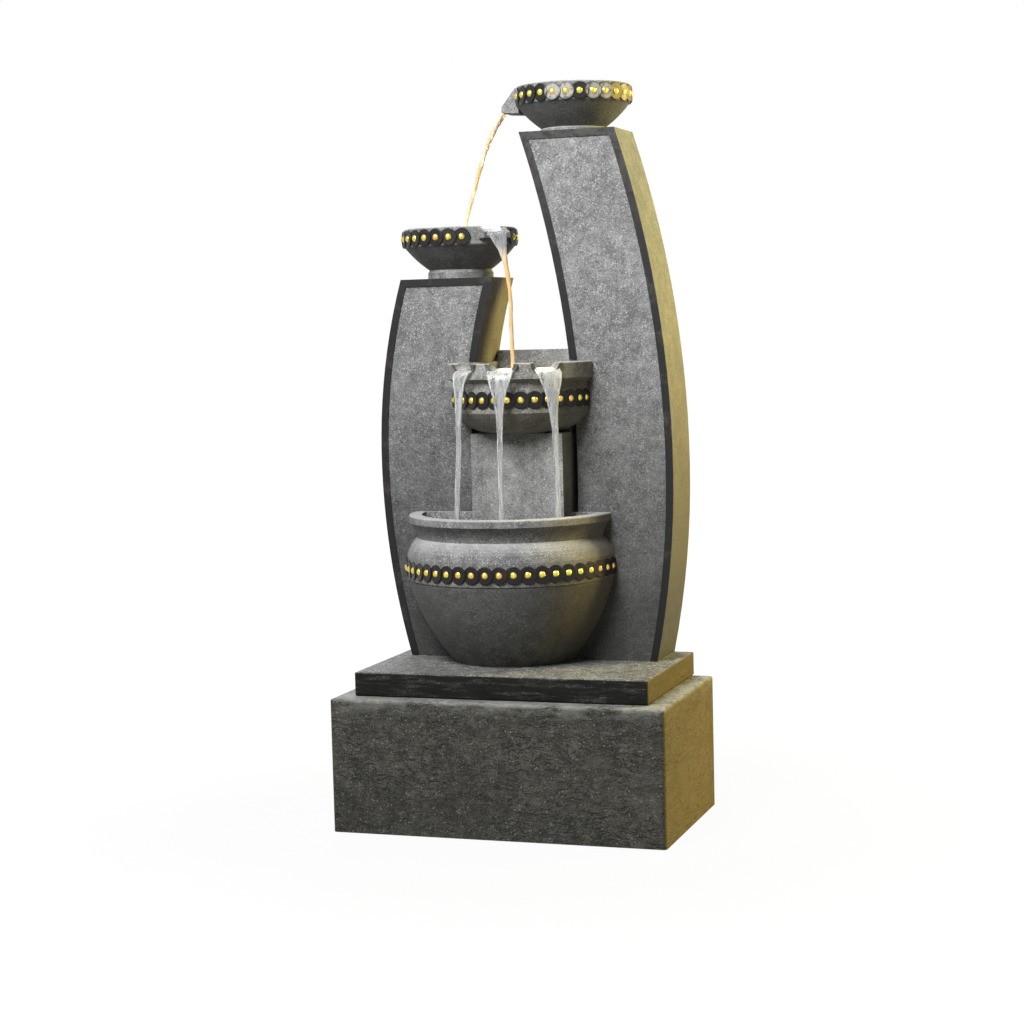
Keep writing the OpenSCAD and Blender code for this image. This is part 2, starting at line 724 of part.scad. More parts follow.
module bottom_bowl() {
  back = front_y - gap;
  color(stone) difference() {
    translate([base_x, front_y, base_top]) rotate_extrude()
      polygon(concat([[0, 0]], base_outer(), [[0, base_bowl_h]]));
    difference() {
      translate([base_x, front_y, base_top]) rotate_extrude() polygon(concat(
        [[0, base_floor_t], [base_foot_r - 2 * bowl_wall, base_floor_t]],
        bow([base_foot_r - 2 * bowl_wall, base_floor_t],
          [base_inner_r, base_band_h - band_half_h], -base_inner_sag, belly_steps),
        [[base_inner_r, base_band_h - band_half_h], [base_inner_r, base_bowl_h + over],
         [0, base_bowl_h + over]]));
      box([-plinth_w, back - bowl_wall, 0], [plinth_w, plinth_d, base_top + 2 * base_bowl_h]);
    }
    box([-plinth_w, back, 0], [plinth_w, plinth_d, base_top + 2 * base_bowl_h]);
    box([pilaster_x - pilaster_w / 2 - gap, back - bowl_wall - over, base_top + pilaster_dip - gap],
      [pilaster_x + pilaster_w / 2 + gap, back + over, base_top + base_bowl_h + over]);
    translate([pipe_x, pipe_y, base_top - over])
      cylinder(r = pipe_r + hole_gap, h = base_floor_t + 2 * over);
  }
}

// Bands of lapping discs: each disc is cut back where the next one lies over it
function full_turn(count, gap_a, skip) =
  [for (i = [0 : count - 1]) let (a = gap_a + 360 * (i + 0.5) / count,
    off = abs((a - gap_a + 540) % 360 - 180)) if (off > skip) a];
function half_turn(count) = [for (i = [0 : count - 1]) -180 + 180 * (i + 0.5) / count];
module disc_place(r, a) {
  rotate([0, 0, a]) translate([r + seat, 0, 0]) rotate([0, 90, 0]) children();
}
module discs(r, angles) {
  last = len(angles) - 1;
  for (i = [0 : last]) difference() {
    disc_place(r, angles[i]) translate([0, 0, -disc_t]) cylinder(r = disc_r, h = 2 * disc_t);
    cylinder(r = r + seat, h = 4 * disc_r, center = true, $fn = wall_fn);
    if (i < last) disc_place(r, angles[i + 1]) translate([0, 0, -4 * disc_t])
      cylinder(r = disc_r + lap_gap, h = 8 * disc_t);
  }
}
module studs(r, angles) {
  dome_r = (stud_r * stud_r + stud_h * stud_h) / (2 * stud_h);
  for (a = angles) disc_place(r, a) translate([0, 0, disc_t]) intersection() {
    translate([0, 0, stud_h - dome_r]) sphere(r = dome_r);
    cylinder(r = 2 * stud_r, h = 2 * stud_h);
  }
}
lap_gap = 0.15;
wall_fn = 360;
small_count = 27;
small_skip = 21;
mid_count = 16;
base_count = 24;
band_below_rim = 17;
mid_band_drop = 6;
top_angles = full_turn(small_count, top_lip_a, small_skip);
second_angles = full_turn(small_count, second_lip_a, small_skip);
mid_angles = half_turn(mid_count);
base_angles = half_turn(base_count);
small_rim = bowl_cone_h + bowl_wall_h - band_below_rim;
module small_band(x, z, angles) {
  color(black) translate([x, mid_y, z]) discs(bowl_r, angles);
}
module half_band(x, z, r, angles) {
  color(black) difference() {
    translate([x, front_y, z]) discs(r, angles);
    box([-plinth_w, front_y - gap, 0], [plinth_w, plinth_d, z + plinth_h]);
  }
}
top_band_z = top_bowl_z + top_collar_h + small_rim;
second_band_z = second_bowl_z + second_collar_h + small_rim;
mid_band_z = mid_z + mid_belly_h + mid_wall_h / 2 - mid_band_drop;
base_band_z = base_top + base_band_h;
module top_bowl_discs() small_band(top_bowl_x, top_band_z, top_angles);
module second_bowl_discs() small_band(second_bowl_x, second_band_z, second_angles);
module middle_bowl_discs() half_band(mid_x, mid_band_z, mid_r, mid_angles);
module bottom_bowl_discs() half_band(base_x, base_band_z, base_r, base_angles);
module top_bowl_studs() color(gold) translate([top_bowl_x, mid_y, top_band_z])
  studs(bowl_r, top_angles);
module second_bowl_studs() color(gold) translate([second_bowl_x, mid_y, second_band_z])
  studs(bowl_r, second_angles);
module middle_bowl_studs() color(gold) translate([mid_x, front_y, mid_band_z])
  studs(mid_r, mid_angles);
module bottom_bowl_studs() color(gold) translate([base_x, front_y, base_band_z])
  studs(base_r, base_angles);

// Reservoir, drain and return pipe
tub_w = plinth_w - 2 * plinth_wall - 2 * tub_side_room;
tub_d = plinth_d - 2 * plinth_wall - tub_front_room - tub_back_room;
tub_back = back_y - plinth_wall - tub_back_room;
tub_y = tub_back - tub_d / 2;
spigot_inset = 50;
spigot_x = spigot_inset - tub_w / 2;
spigot_rise = 6;
spigot_z = tray_t + tub_wall + spigot_r + spigot_rise;
flange_t = 4;
module reservoir_tub() {
  color(plastic) difference() {
    translate([-tub_w / 2, tub_y - tub_d / 2, tray_t]) cube([tub_w, tub_d, tub_h]);
    translate([tub_wall - tub_w / 2, tub_y - tub_d / 2 + tub_wall, tray_t + tub_wall])
      cube([tub_w - 2 * tub_wall, tub_d - 2 * tub_wall, tub_h]);
    rod_y([spigot_x, tub_back - tub_wall - over, spigot_z], spigot_r + run_fit,
      tub_wall + 2 * over);
  }
}
module drain_spigot() {
  color(plastic) difference() {
    union() {
      rod_y([spigot_x, tub_back - tub_wall, spigot_z], spigot_r, back_y - tub_back + tub_wall);
      rod_y([spigot_x, tub_back, spigot_z], spigot_r + flange_t, flange_t);
    }
    rod_y([spigot_x, tub_back - tub_wall - over, spigot_z], plug_r + run_fit,
      back_y - tub_back + tub_wall + 2 * over);
  }
}
plug_head_t = 7;
plug_head_lip = 2;
module drain_plug() {
  color(plastic) {
    rod_y([spigot_x, back_y - plug_stem, spigot_z], plug_r, plug_stem + plug_head_t / 2);
    difference() {
      rod_y([spigot_x, back_y + seat, spigot_z], spigot_r + plug_head_lip, plug_head_t);
      for (s = [-1, 1]) translate([spigot_x + s * spigot_r, back_y + plug_head_t, spigot_z])
        cube([spigot_r * 1.5, plug_head_t, 4 * spigot_r], center = true);
    }
  }
}
pipe_low_share = 0.8;
pipe_low = tray_t + tub_h * pipe_low_share;
pipe_flange_w = 6;
pipe_flange_r = pipe_r + pipe_flange_w;
pipe_flange_t = 2;
bowl_floor_z = base_top + base_floor_t;
module return_pipe() {
  color(plastic) translate([pipe_x, pipe_y, 0]) difference() {
    union() {
      translate([0, 0, pipe_low]) cylinder(r = pipe_r, h = bowl_floor_z - pipe_low + pipe_flange_t);
      translate([0, 0, bowl_floor_z]) cylinder(r = pipe_flange_r, h = pipe_flange_t);
    }
    translate([0, 0, pipe_low - over])
      cylinder(r = pipe_bore_r, h = bowl_floor_z - pipe_low + pipe_flange_t + 2 * over);
  }
}
grate_t = 3;
grate_stub = 10;
grate_slot = 3;
grate_wall = 2;
grate_inset = 1;
module drain_grate() {
  z = bowl_floor_z + pipe_flange_t;
  color(plastic) translate([pipe_x, pipe_y, z]) difference() {
    union() {
      cylinder(r = pipe_flange_r - grate_inset, h = grate_t);
      translate([0, 0, -grate_stub]) cylinder(r = pipe_bore_r - run_fit, h = grate_stub + grate_t / 2);
    }
    translate([0, 0, -grate_stub - over])
      cylinder(r = pipe_bore_r - run_fit - grate_wall, h = grate_stub + over);
    for (i = [-1.5 : 1 : 1.5]) translate([i * 2 * grate_slot, 0, grate_t / 2])
      cube([grate_slot, 1.4 * pipe_bore_r, 2 * grate_t], center = true);
  }
}

// Pump: the motor housing in front, the impeller chamber behind it, facing the access door
pump_x = 32;
pump_ahead = 96;
pump_face_y = tub_back - pump_ahead;
foot_h = 8;
pump_low = tray_t + tub_wall + foot_h;
pump_mid_z = pump_low + pump_w / 2;
volute_l = 16;
volute_wall = 4;
volute_floor = 3;
impeller_gap = 2;
chamber_r = impeller_r + impeller_gap;
volute_r = chamber_r + volute_wall;
barb_r = 6;
barb_bore_r = 4;
barb_y = pump_face_y + volute_l / 2;
barb_l = 18;
barb_top = pump_low + pump_w + barb_l;
moulding_r = 4;
module pump_body() {
  shaft_y = pump_face_y - shaft_sink;
  color(plastic) difference() {
    union() {
      translate([pump_x - pump_w / 2, pump_face_y - pump_motor_l, pump_low])
        rounded_block(pump_w, pump_motor_l, pump_w, moulding_r);
      rod_y([pump_x, pump_face_y - over, pump_mid_z], volute_r, volute_l + over);
      translate([pump_x, barb_y, pump_mid_z]) cylinder(r = barb_r, h = barb_top - pump_mid_z);
    }
    rod_y([pump_x, pump_face_y + volute_floor, pump_mid_z], chamber_r, volute_l);
    translate([pump_x, barb_y, pump_mid_z]) cylinder(r = barb_bore_r, h = barb_top);
    rod_y([pump_x, shaft_y, pump_mid_z], shaft_r + run_fit / 2, shaft_sink + 2 * volute_floor);
    for (p = foot_points()) translate([p[0], p[1], pump_low - over])
      cylinder(r = foot_stem_r + run_fit, h = foot_stem + over);
  }
}
shaft_sink = 10;
shaft_short = 1;
shaft_l = shaft_sink + volute_l - shaft_short;
module impeller_shaft() {
  color(steel) rod_y([pump_x, pump_face_y - shaft_sink, pump_mid_z], shaft_r, shaft_l);
}
blade_count = 6;
blade_t = 2;
hub_r = 5;
impeller_l = volute_l - volute_floor - impeller_gap;
module pump_impeller() {
  y = pump_face_y + volute_floor + gap;
  color("#3a3f45") difference() {
    union() {
      rod_y([pump_x, y, pump_mid_z], hub_r, impeller_l);
      rod_y([pump_x, y, pump_mid_z], impeller_r, blade_t);
      for (i = [0 : blade_count - 1]) translate([pump_x, y, pump_mid_z])
        rotate([0, 360 * i / blade_count, 0]) translate([0, 0, -blade_t / 2])
          cube([impeller_r, impeller_l, blade_t]);
    }
    rod_y([pump_x, y - over, pump_mid_z], shaft_r + run_fit, impeller_l + 2 * over);
  }
}
strainer_wall = 2.5;
strainer_y = pump_face_y + seat;
slot_count = 7;
slot_low_shares = [0.15, 0.71];
slot_h_share = 0.14;
dial_stem_r = 3;
dial_t = 7;
dial_sink = 2;
dial_mark_w = 2;
module pump_strainer() {
  pitch = (pump_w - 4 * strainer_wall) / slot_count;
  color(plastic) difference() {
    translate([pump_x - pump_w / 2, strainer_y, pump_low]) cube([pump_w, strainer_l, pump_w]);
    translate([pump_x - pump_w / 2 + strainer_wall, strainer_y - over, pump_low + strainer_wall])
      cube([pump_w - 2 * strainer_wall, strainer_l - strainer_wall + over, pump_w - 2 * strainer_wall]);
    for (i = [0 : slot_count - 1], s = slot_low_shares)
      translate([pump_x - pump_w / 2 + 2 * strainer_wall + pitch * (i + 0.25),
        strainer_y + strainer_l - 2 * strainer_wall, pump_low + pump_w * s])
        cube([pitch / 2, 3 * strainer_wall, pump_w * slot_h_share]);
    box([pump_x - barb_r - gap, strainer_y - over, pump_mid_z],
      [pump_x + barb_r + gap, barb_y + barb_r + gap, pump_low + pump_w + over]);
    rod_y([pump_x, strainer_y + strainer_l - 2 * strainer_wall, pump_mid_z],
      dial_stem_r + run_fit, 3 * strainer_wall);
  }
}
module flow_dial() {
  face = strainer_y + strainer_l;
  color("#46484c") {
    rod_y([pump_x, face - strainer_wall - dial_sink, pump_mid_z], dial_stem_r,
      strainer_wall + dial_sink + dial_t / 2);
    difference() {
      rod_y([pump_x, face + gap, pump_mid_z], dial_r, dial_t);
      translate([pump_x, face + gap + dial_t, pump_mid_z + dial_r])
        cube([dial_mark_w, dial_mark_w, dial_r], center = true);
    }
  }
}
foot_r = 9;
foot_stem_r = 3;
foot_stem = 4;
foot_shares = [0.2, 0.8];
function foot_points() =
  [for (sx = [-1, 1], sy = foot_shares)
    [pump_x + sx * (pump_w / 2 - foot_r), pump_face_y - pump_motor_l * sy]];
module pump_feet() {
  color(rubber) for (p = foot_points()) translate([p[0], p[1], pump_low - foot_h]) {
    cylinder(r1 = foot_r, r2 = foot_r / 2, h = foot_h);
    cylinder(r = foot_stem_r, h = foot_h + foot_stem - run_fit);
  }
}

// A round tube swept along a route: a spline through points chosen by hand
function spline(a, b, c, d, t) =
  0.5 * (2 * b + (c - a) * t + (2 * a - 5 * b + 4 * c - d) * t * t + (3 * b - a - 3 * c + d) * t * t * t);
function route(p, n) = let (m = len(p) - 1) concat(
  [for (i = [0 : m - 1], j = [0 : n - 1])
    spline(i == 0 ? 2 * p[0] - p[1] : p[i - 1], p[i], p[i + 1],
      i == m - 1 ? 2 * p[m] - p[m - 1] : p[i + 2], j / n)],
  [p[m]]);
function unit(v) = v / norm(v);
module tube(p, r, sides) {
  m = len(p) - 1;
  // The end rings stand square to the first and last stretch
  dirs = [for (i = [0 : m]) unit(p[min(i + 1, m)] - p[max(i - 1, 0)])];
  start = unit(cross(dirs[0], [0.3, 0.9, 0.1]));
  normals = [for (i = 0, n = start; i <= m; i = i + 1,
    n = unit(n - (n * dirs[min(i, m)]) * dirs[min(i, m)])) n];
  rings = [for (i = [0 : m], k = [0 : sides - 1]) let (a = 360 * k / sides)
    p[i] + r * (cos(a) * normals[i] + sin(a) * cross(dirs[i], normals[i]))];
  walls = [for (i = [0 : m - 1], k = [0 : sides - 1])
    let (a = i * sides + k, b = i * sides + (k + 1) % sides)
    each [[a, b, b + sides], [a, b + sides, a + sides]]];
  caps = [for (k = [1 : sides - 2]) each [[0, k + 1, k],
    [m * sides, m * sides + k, m * sides + k + 1]]];
  polyhedron(rings, concat(walls, caps), convexity = 4);
}

// Riser hose, from the pump's barb up inside the tall column to the nozzle
nozzle_r = 8;
nozzle_bore_r = 5;
nozzle_tail = 12;
nozzle_rise = 14;
nozzle_flange_w = 4;
nozzle_flange_t = 2;
nut_h = 8;
nut_r = 14;
hose_top = top_bowl_z - column_wall - nut_h - nozzle_tail;
// A point between p and q, with its own share of the way along each axis
function part_way(p, q, s) = [for (i = [0 : 2]) p[i] + (q[i] - p[i]) * s[i]];
// A point inside a column at a share of its height, a share s of the way to the bowl's part above
function in_column(c, share, from, to, s) = let (h = c[4] * share)
  [(middle_x(c, h) + from) * (1 - s) + to * s, hose_y + (mid_y - hose_y) * s, base_top + h];
hose_rise = 27;
hose_straight = 12;
hose_out = [pump_x, barb_y, barb_top + hose_rise];
hose_in = [hose_x, hose_y, deck_z - hose_straight];
hose_low_shares = [[0.12, 0.15, 0.36], [0.46, 0.55, 0.6], [0.84, 0.88, 0.8]];
hose_rise_shares = [[0.1, 0], [0.21, 0], [0.36, 0], [0.53, 0], [0.7, 0], [0.84, 0.2], [0.91, 0.76]];
hose_points = concat(
  [[pump_x, barb_y, barb_top + seat], [pump_x, barb_y, barb_top + hose_straight], hose_out],
  [for (s = hose_low_shares) part_way(hose_out, hose_in, s)],
  [hose_in, [hose_x, hose_y, deck_z], [hose_x, hose_y, plinth_h + slab_h / 2],
   [hose_x, hose_y, base_top], [hose_x, hose_y, base_top + 2 * hose_straight]],
  [for (s = hose_rise_shares) in_column(TALL, s[0], 0, top_bowl_x, s[1])],
  [[top_bowl_x, mid_y, hose_top - 3 * hose_straight],
   [top_bowl_x, mid_y, hose_top - 1.5 * hose_straight], [top_bowl_x, mid_y, hose_top]]);
module riser_hose() {
  color(clear_hose) tube(route(hose_points, 2), hose_r, 12);
}
clamp_h = 8;
clamp_t = 1.2;
clamp_rise = 5;
module hose_clamps() {
  color(steel) for (p = [[pump_x, barb_y, barb_top + clamp_rise],
      [top_bowl_x, mid_y, hose_top - clamp_h - clamp_rise]])
    translate(p) difference() {
      union() {
        cylinder(r = hose_r + gap + clamp_t, h = clamp_h);
        translate([hose_r + gap, -clamp_h / 2, 0]) cube([clamp_h, clamp_h, clamp_h]);
      }
      translate([0, 0, -over]) cylinder(r = hose_r + gap, h = clamp_h + 2 * over);
    }
}
module top_nozzle() {
  floor_z = top_bowl_z + top_collar_h + bowl_floor_h;
  low = hose_top + seat;
  color(plastic) translate([top_bowl_x, mid_y, 0]) difference() {
    union() {
      translate([0, 0, low]) cylinder(r = nozzle_r, h = floor_z + nozzle_rise - low);
      translate([0, 0, floor_z]) cylinder(r = nozzle_r + nozzle_flange_w, h = nozzle_flange_t);
    }
    translate([0, 0, low - over]) cylinder(r = nozzle_bore_r, h = tall_h);
  }
}
module nozzle_nut() {
  color(plastic) translate([top_bowl_x, mid_y, top_bowl_z - column_wall - nut_h]) difference() {
    cylinder(r = nut_r, h = nut_h, $fn = 6);
    translate([0, 0, -over]) cylinder(r = nozzle_r + run_fit, h = nut_h + 2 * over);
  }
}
bolt_r = 4;
bolt_head_h = 5;
bolt_head_r = 7.5;
bolt_nut_h = 6.5;
bolt_tail = 4;
module second_bowl_bolt() {
  floor_z = second_bowl_z + second_collar_h + bowl_floor_h;
  low = second_bowl_z - column_wall - bolt_nut_h - bolt_tail;
  color(steel) translate([second_bowl_x, mid_y, 0]) {
    translate([0, 0, low]) cylinder(r = bolt_r, h = floor_z - low + bolt_head_h / 2);
    translate([0, 0, floor_z]) cylinder(r = bolt_head_r, h = bolt_head_h, $fn = 6);
  }
}
module second_bowl_nut() {
  color(steel) translate([second_bowl_x, mid_y, second_bowl_z - column_wall - bolt_nut_h])
    difference() {
      cylinder(r = bolt_head_r, h = bolt_nut_h, $fn = 6);
      translate([0, 0, -over]) cylinder(r = bolt_r + run_fit, h = bolt_nut_h + 2 * over);
    }
}

// Lamps and their leads
lamp_offset = 30;
lens_h = 3;
lens_inset = 2;
lamp_points = concat(
  [[top_bowl_x - lamp_offset, mid_y, top_bowl_z + top_collar_h + bowl_floor_h],
   [second_bowl_x - lamp_offset, mid_y, second_bowl_z + second_collar_h + bowl_floor_h]],
  [for (x = mid_lead_xs) [x, mid_lead_y, mid_z + mid_floor_h]]);
module lamp_bodies() {
  color(plastic) for (p = lamp_points) translate(p) cylinder(r = lamp_r, h = lamp_h);
}
module lamp_lenses() {
  color("#fff2c0") for (p = lamp_points) translate(p + [0, 0, lamp_h])
    cylinder(r = lamp_r - lens_inset, h = lens_h);
}
box_x = plinth_w / 2 - plinth_wall - box_w;
box_y = -20;
box_z = 64;
box_wall = 3;
box_top = box_z + box_h;
front_gland_x = box_x + box_w / 4;
rear_gland_x = box_x + box_w / 2;
gland_step = 20;
top_gland = [front_gland_x, box_y + gland_step, box_top];
second_gland = [rear_gland_x, box_y + gland_step, box_top];
right_gland = [front_gland_x, box_y + 2 * gland_step, box_top];
left_gland = [rear_gland_x, box_y + 2 * gland_step, box_top];
lead_rise = 30;
lead_straight = 5;
// Routes from a gland up to a hole in the deck, by shares of the way along each axis
top_lead_shares = [[0, 0, 0], [0.39, 0.52, 0.74], [0.76, 0.7, 0.9]];
right_lead_shares = [[0, 0, 0], [0.29, 0.71, 0.4], [0.7, 1.07, 0.48]];
left_lead_shares = [[0, 0, 0.2], [0.22, 0.94, 0.75], [0.57, 1.17, 0.66], [0.88, 1.16, 0.62]];
function to_deck(gland, x, y, shares) = concat([gland],
  [for (s = shares) part_way(gland + [0, 0, lead_rise], [x, y, deck_z - lead_straight], s)],
  [[x, y, deck_z - lead_straight], [x, y, base_top + lead_straight]]);
top_rise_shares = [[0.13, 0], [0.36, 0], [0.53, 0], [0.72, 0], [0.9, 0.58]];
top_lead_points = concat(to_deck(top_gland, top_lead_x, hose_y, top_lead_shares),
  [for (s = top_rise_shares)
    in_column(TALL, s[0], -lead_room, top_bowl_x - lamp_offset, s[1])],
  [lamp_points[0] - [0, 0, 2 * lead_rise], lamp_points[0] - [0, 0, seat]]);
// The second lead passes ahead of the return pipe
pipe_pass = [pipe_x, pipe_y - 2 * lead_rise, deck_z - lead_rise];
second_lead_shares = [[0, 0, 0], [0.02, 0.25, 0.3], [0.25, 0.5, 0.6], [0.65, 0.8, 0.8]];
after_pipe_share = [0.7, 0.4, 0.5];
second_rise_shares = [[0.28, 0], [0.53, 0], [0.77, 0.2], [0.87, 0.6]];
second_lead_points = concat([second_gland],
  [for (s = second_lead_shares) part_way(second_gland + [0, 0, lead_rise], pipe_pass, s)],
  [pipe_pass,
   part_way(pipe_pass, [short_lead_x, hose_y, deck_z - lead_straight], after_pipe_share),
   [short_lead_x, hose_y, deck_z - lead_straight], [short_lead_x, hose_y, base_top + lead_straight]],
  [for (s = second_rise_shares)
    in_column(SHORT, s[0], 0, second_bowl_x - lamp_offset, s[1])],
  [lamp_points[1] - [0, 0, 2 * lead_rise], lamp_points[1] - [0, 0, seat]]);
right_lead_points = concat(to_deck(right_gland, mid_lead_xs[1], mid_lead_y, right_lead_shares),
  [lamp_points[3] - [0, 0, seat]]);
left_lead_points = concat(to_deck(left_gland, mid_lead_xs[0], mid_lead_y, left_lead_shares),
  [lamp_points[2] - [0, 0, seat]]);
module top_lamp_lead() {
  color(rubber) tube(route(top_lead_points, 1), lead_r, 8);
}
module second_lamp_lead() {
  color(rubber) tube(route(second_lead_points, 1), lead_r, 8);
}
module middle_lamp_leads() {
  color(rubber) {
    tube(route(right_lead_points, 1), lead_r, 8);
    tube(route(left_lead_points, 1), lead_r, 8);
  }
}
pump_lead_r = 3.5;
pump_gland_y = pump_face_y - pump_motor_l * 0.7;
pump_gland = [front_gland_x, box_y - 1.5 * gland_step, box_top];
pump_lead_shares = [[0.13, 1, 0.8], [0.6, 1.3, 0.95], [1, 0.85, 1]];
pump_lead_low = [pump_x, pump_gland_y, pump_low + pump_w + lead_rise];
pump_lead_points = concat([[pump_x, pump_gland_y, pump_low + pump_w + seat], pump_lead_low],
  [for (s = pump_lead_shares) part_way(pump_lead_low, pump_gland + [0, 0, 1.2 * lead_rise], s)],
  [pump_gland + [0, 0, lead_rise / 2], pump_gland + [0, 0, seat]]);
module pump_lead() {
  color(rubber) tube(route(pump_lead_points, 1), pump_lead_r, 8);
}
module transformer_box() {
  color(plastic) difference() {
    translate([box_x, box_y - box_l / 2, box_z]) rounded_block(box_w, box_l, box_h, moulding_r);
    translate([box_x + box_wall, box_y - box_l / 2 + box_wall, box_z + box_wall])
      cube([box_w - 2 * box_wall, box_l - 2 * box_wall, box_h - 2 * box_wall]);
  }
}
grommet_inset = 47;
grommet_x = plinth_w / 2 - grommet_inset;
grommet_z = 34;
grommet_r = 8;
grommet_bore_r = 3.5;
grommet_lip_w = 3;
grommet_lip_t = 2.5;
module cable_grommet() {
  y0 = back_y - plinth_wall;
  color(rubber) difference() {
    union() {
      rod_y([grommet_x, y0 - grommet_lip_t, grommet_z], grommet_r - run_fit,
        plinth_wall + 2 * grommet_lip_t);
      rod_y([grommet_x, y0 - grommet_lip_t - seat, grommet_z], grommet_r + grommet_lip_w,
        grommet_lip_t);
      rod_y([grommet_x, back_y + seat, grommet_z], grommet_r + grommet_lip_w, grommet_lip_t);
    }
    rod_y([grommet_x, y0 - 2 * grommet_lip_t, grommet_z], grommet_bore_r,
      plinth_wall + 4 * grommet_lip_t);
  }
}
inlet_lead_r = 3;
inlet_straight = 22;
inlet_out = [grommet_x, back_y - plinth_wall - inlet_straight, grommet_z];
inlet_up = [rear_gland_x, box_y + 1.4 * gland_step, box_z - inlet_straight / 2];
inlet_shares = [[0, 0.3, 0.1], [0.7, 0.68, 0.3], [1, 0.94, 0.5]];
inlet_points = concat([[grommet_x, back_y - plinth_wall / 2, grommet_z], inlet_out],
  [for (s = inlet_shares) part_way(inlet_out, inlet_up, s)],
  [inlet_up, [rear_gland_x, inlet_up[1], box_z - seat]]);
module inlet_lead() {
  color(rubber) tube(route(inlet_points, 1), inlet_lead_r, 8);
}

// Access door in the plinth's back, hinged at its left edge seen from the front
door_top = door_sill + door_h;
rebate = 6;
rebate_d = seal_t + door_t;
door_gap = 1;
module door_opening() {
  box([-door_w / 2, back_y - rebate_d, door_sill], [door_w / 2, back_y + over, door_top]);
  box([rebate - door_w / 2, back_y - plinth_wall - over, door_sill + rebate],
    [door_w / 2 - rebate, back_y, door_top - rebate]);
}
latch_inset = 20;
latch_x = door_w / 2 - latch_inset;
latch_z = door_sill + door_h / 2;
latch_stem_r = 4;
module access_door() {
  color(stone) difference() {
    box([door_gap - door_w / 2, back_y - door_t, door_sill + door_gap],
      [door_w / 2 - door_gap, back_y, door_top - door_gap]);
    rod_y([latch_x, back_y - door_t - over, latch_z], latch_stem_r + run_fit, door_t + 2 * over);
    for (p = leaf_screws(1)) screw_y_hole(p);
  }
}
module door_seal() {
  color(rubber) difference() {
    box([door_gap - door_w / 2, back_y - rebate_d, door_sill + door_gap],
      [door_w / 2 - door_gap, back_y - door_t, door_top - door_gap]);
    box([rebate - door_w / 2, back_y - rebate_d - over, door_sill + rebate],
      [door_w / 2 - rebate, back_y, door_top - rebate]);
  }
}
hinge_out = 3;
hinge_x = -door_w / 2 - hinge_out;
knuckle_gap = 0.3;
hinge_y = back_y + knuckle_r + knuckle_gap;
leaf_t = 2;
leaf_w = 26;
leaf_hole_out = 3;
hinge_inset = 8;
hinge_zs = [door_sill + hinge_h / 2 + hinge_inset, door_top - hinge_h / 2 - hinge_inset];
function leaf_screws(side) =
  [for (z = hinge_zs, s = [-1, 1])
    [hinge_x + side * (leaf_w / 2 + leaf_hole_out), back_y, z + s * hinge_h / 4]];
module leaf(side, knuckles, z) {
  third = hinge_h / 3;
  difference() {
    union() {
      translate([min(0, side * leaf_w), back_y - hinge_y, z - hinge_h / 2])
        cube([leaf_w, leaf_t, hinge_h]);
      translate([0, 0, z - hinge_h / 2]) cylinder(r = knuckle_r, h = hinge_h);
    }
    for (k = [0 : 2]) if (!knuckles[k]) {
      translate([0, 0, z - hinge_h / 2 + k * third - knuckle_gap / 2])
        cylinder(r = knuckle_r + knuckle_gap, h = third + knuckle_gap);
      translate([-side * knuckle_r - (side > 0 ? knuckle_r : 0), -knuckle_r - over,
        z - hinge_h / 2 + k * third - knuckle_gap / 2])
        cube([knuckle_r, 2 * knuckle_r, third + knuckle_gap]);
    }
    translate([0, 0, z - hinge_h / 2 - over]) cylinder(r = pin_r + run_fit, h = hinge_h + 2 * over);
  }
}
module fixed_hinge_leaves() {
  color(steel) difference() {
    translate([hinge_x, hinge_y, 0]) for (z = hinge_zs) leaf(-1, [true, false, true], z);
    for (p = leaf_screws(-1)) screw_y_hole(p + [0, leaf_t, 0]);
  }
}
module door_hinge_leaves() {
  color(steel) difference() {
    translate([hinge_x, hinge_y, 0]) for (z = hinge_zs) leaf(1, [false, true, false], z);
    for (p = leaf_screws(1)) screw_y_hole(p + [0, leaf_t, 0]);
  }
}
pin_proud = 1;
pin_head_w = 1;
pin_head_t = 1.5;
module hinge_pins() {
  color(steel) for (z = hinge_zs) translate([hinge_x, hinge_y, z - hinge_h / 2]) {
    cylinder(r = pin_r, h = hinge_h + pin_proud);
    translate([0, 0, hinge_h + seat]) cylinder(r = pin_r + pin_head_w, h = pin_head_t);
  }
}
door_shank_short = 0.5;
door_shank_l = door_t + leaf_t - door_shank_short;
module door_screws() {
  color(steel) for (p = leaf_screws(1)) translate(p + [0, leaf_t, 0]) rotate([-90, 0, 0]) {
    cylinder(r = head_r, h = head_h);
    translate([0, 0, -door_shank_l]) cylinder(r = shank_r, h = door_shank_l + head_h / 2);
  }
}
knob_t = 10;
cam_l = 26;
cam_w = 10;
cam_t = 4;
cam_boss_w = 3;
cam_y = back_y - plinth_wall - hole_gap - cam_t;
module latch_knob() {
  color(plastic) {
    rod_y([latch_x, cam_y - over, latch_z], latch_stem_r, back_y - cam_y + over + knob_t / 2);
    difference() {
      rod_y([latch_x, back_y + gap, latch_z], knob_r, knob_t);
      for (s = [-1, 1]) translate([latch_x + s * knob_r * 0.75, back_y + knob_t, latch_z])
        cube([knob_r * 0.9, knob_t, 3 * knob_r], center = true);
    }
  }
}
module latch_cam() {
  color(steel) difference() {
    union() {
      box([latch_x - cam_w / 2, cam_y, latch_z - cam_l], [latch_x + cam_w / 2, cam_y + cam_t, latch_z]);
      rod_y([latch_x, cam_y, latch_z], latch_stem_r + cam_boss_w, cam_t);
    }
    rod_y([latch_x, cam_y - over, latch_z], latch_stem_r + run_fit / 2, cam_t + 2 * over);
  }
}

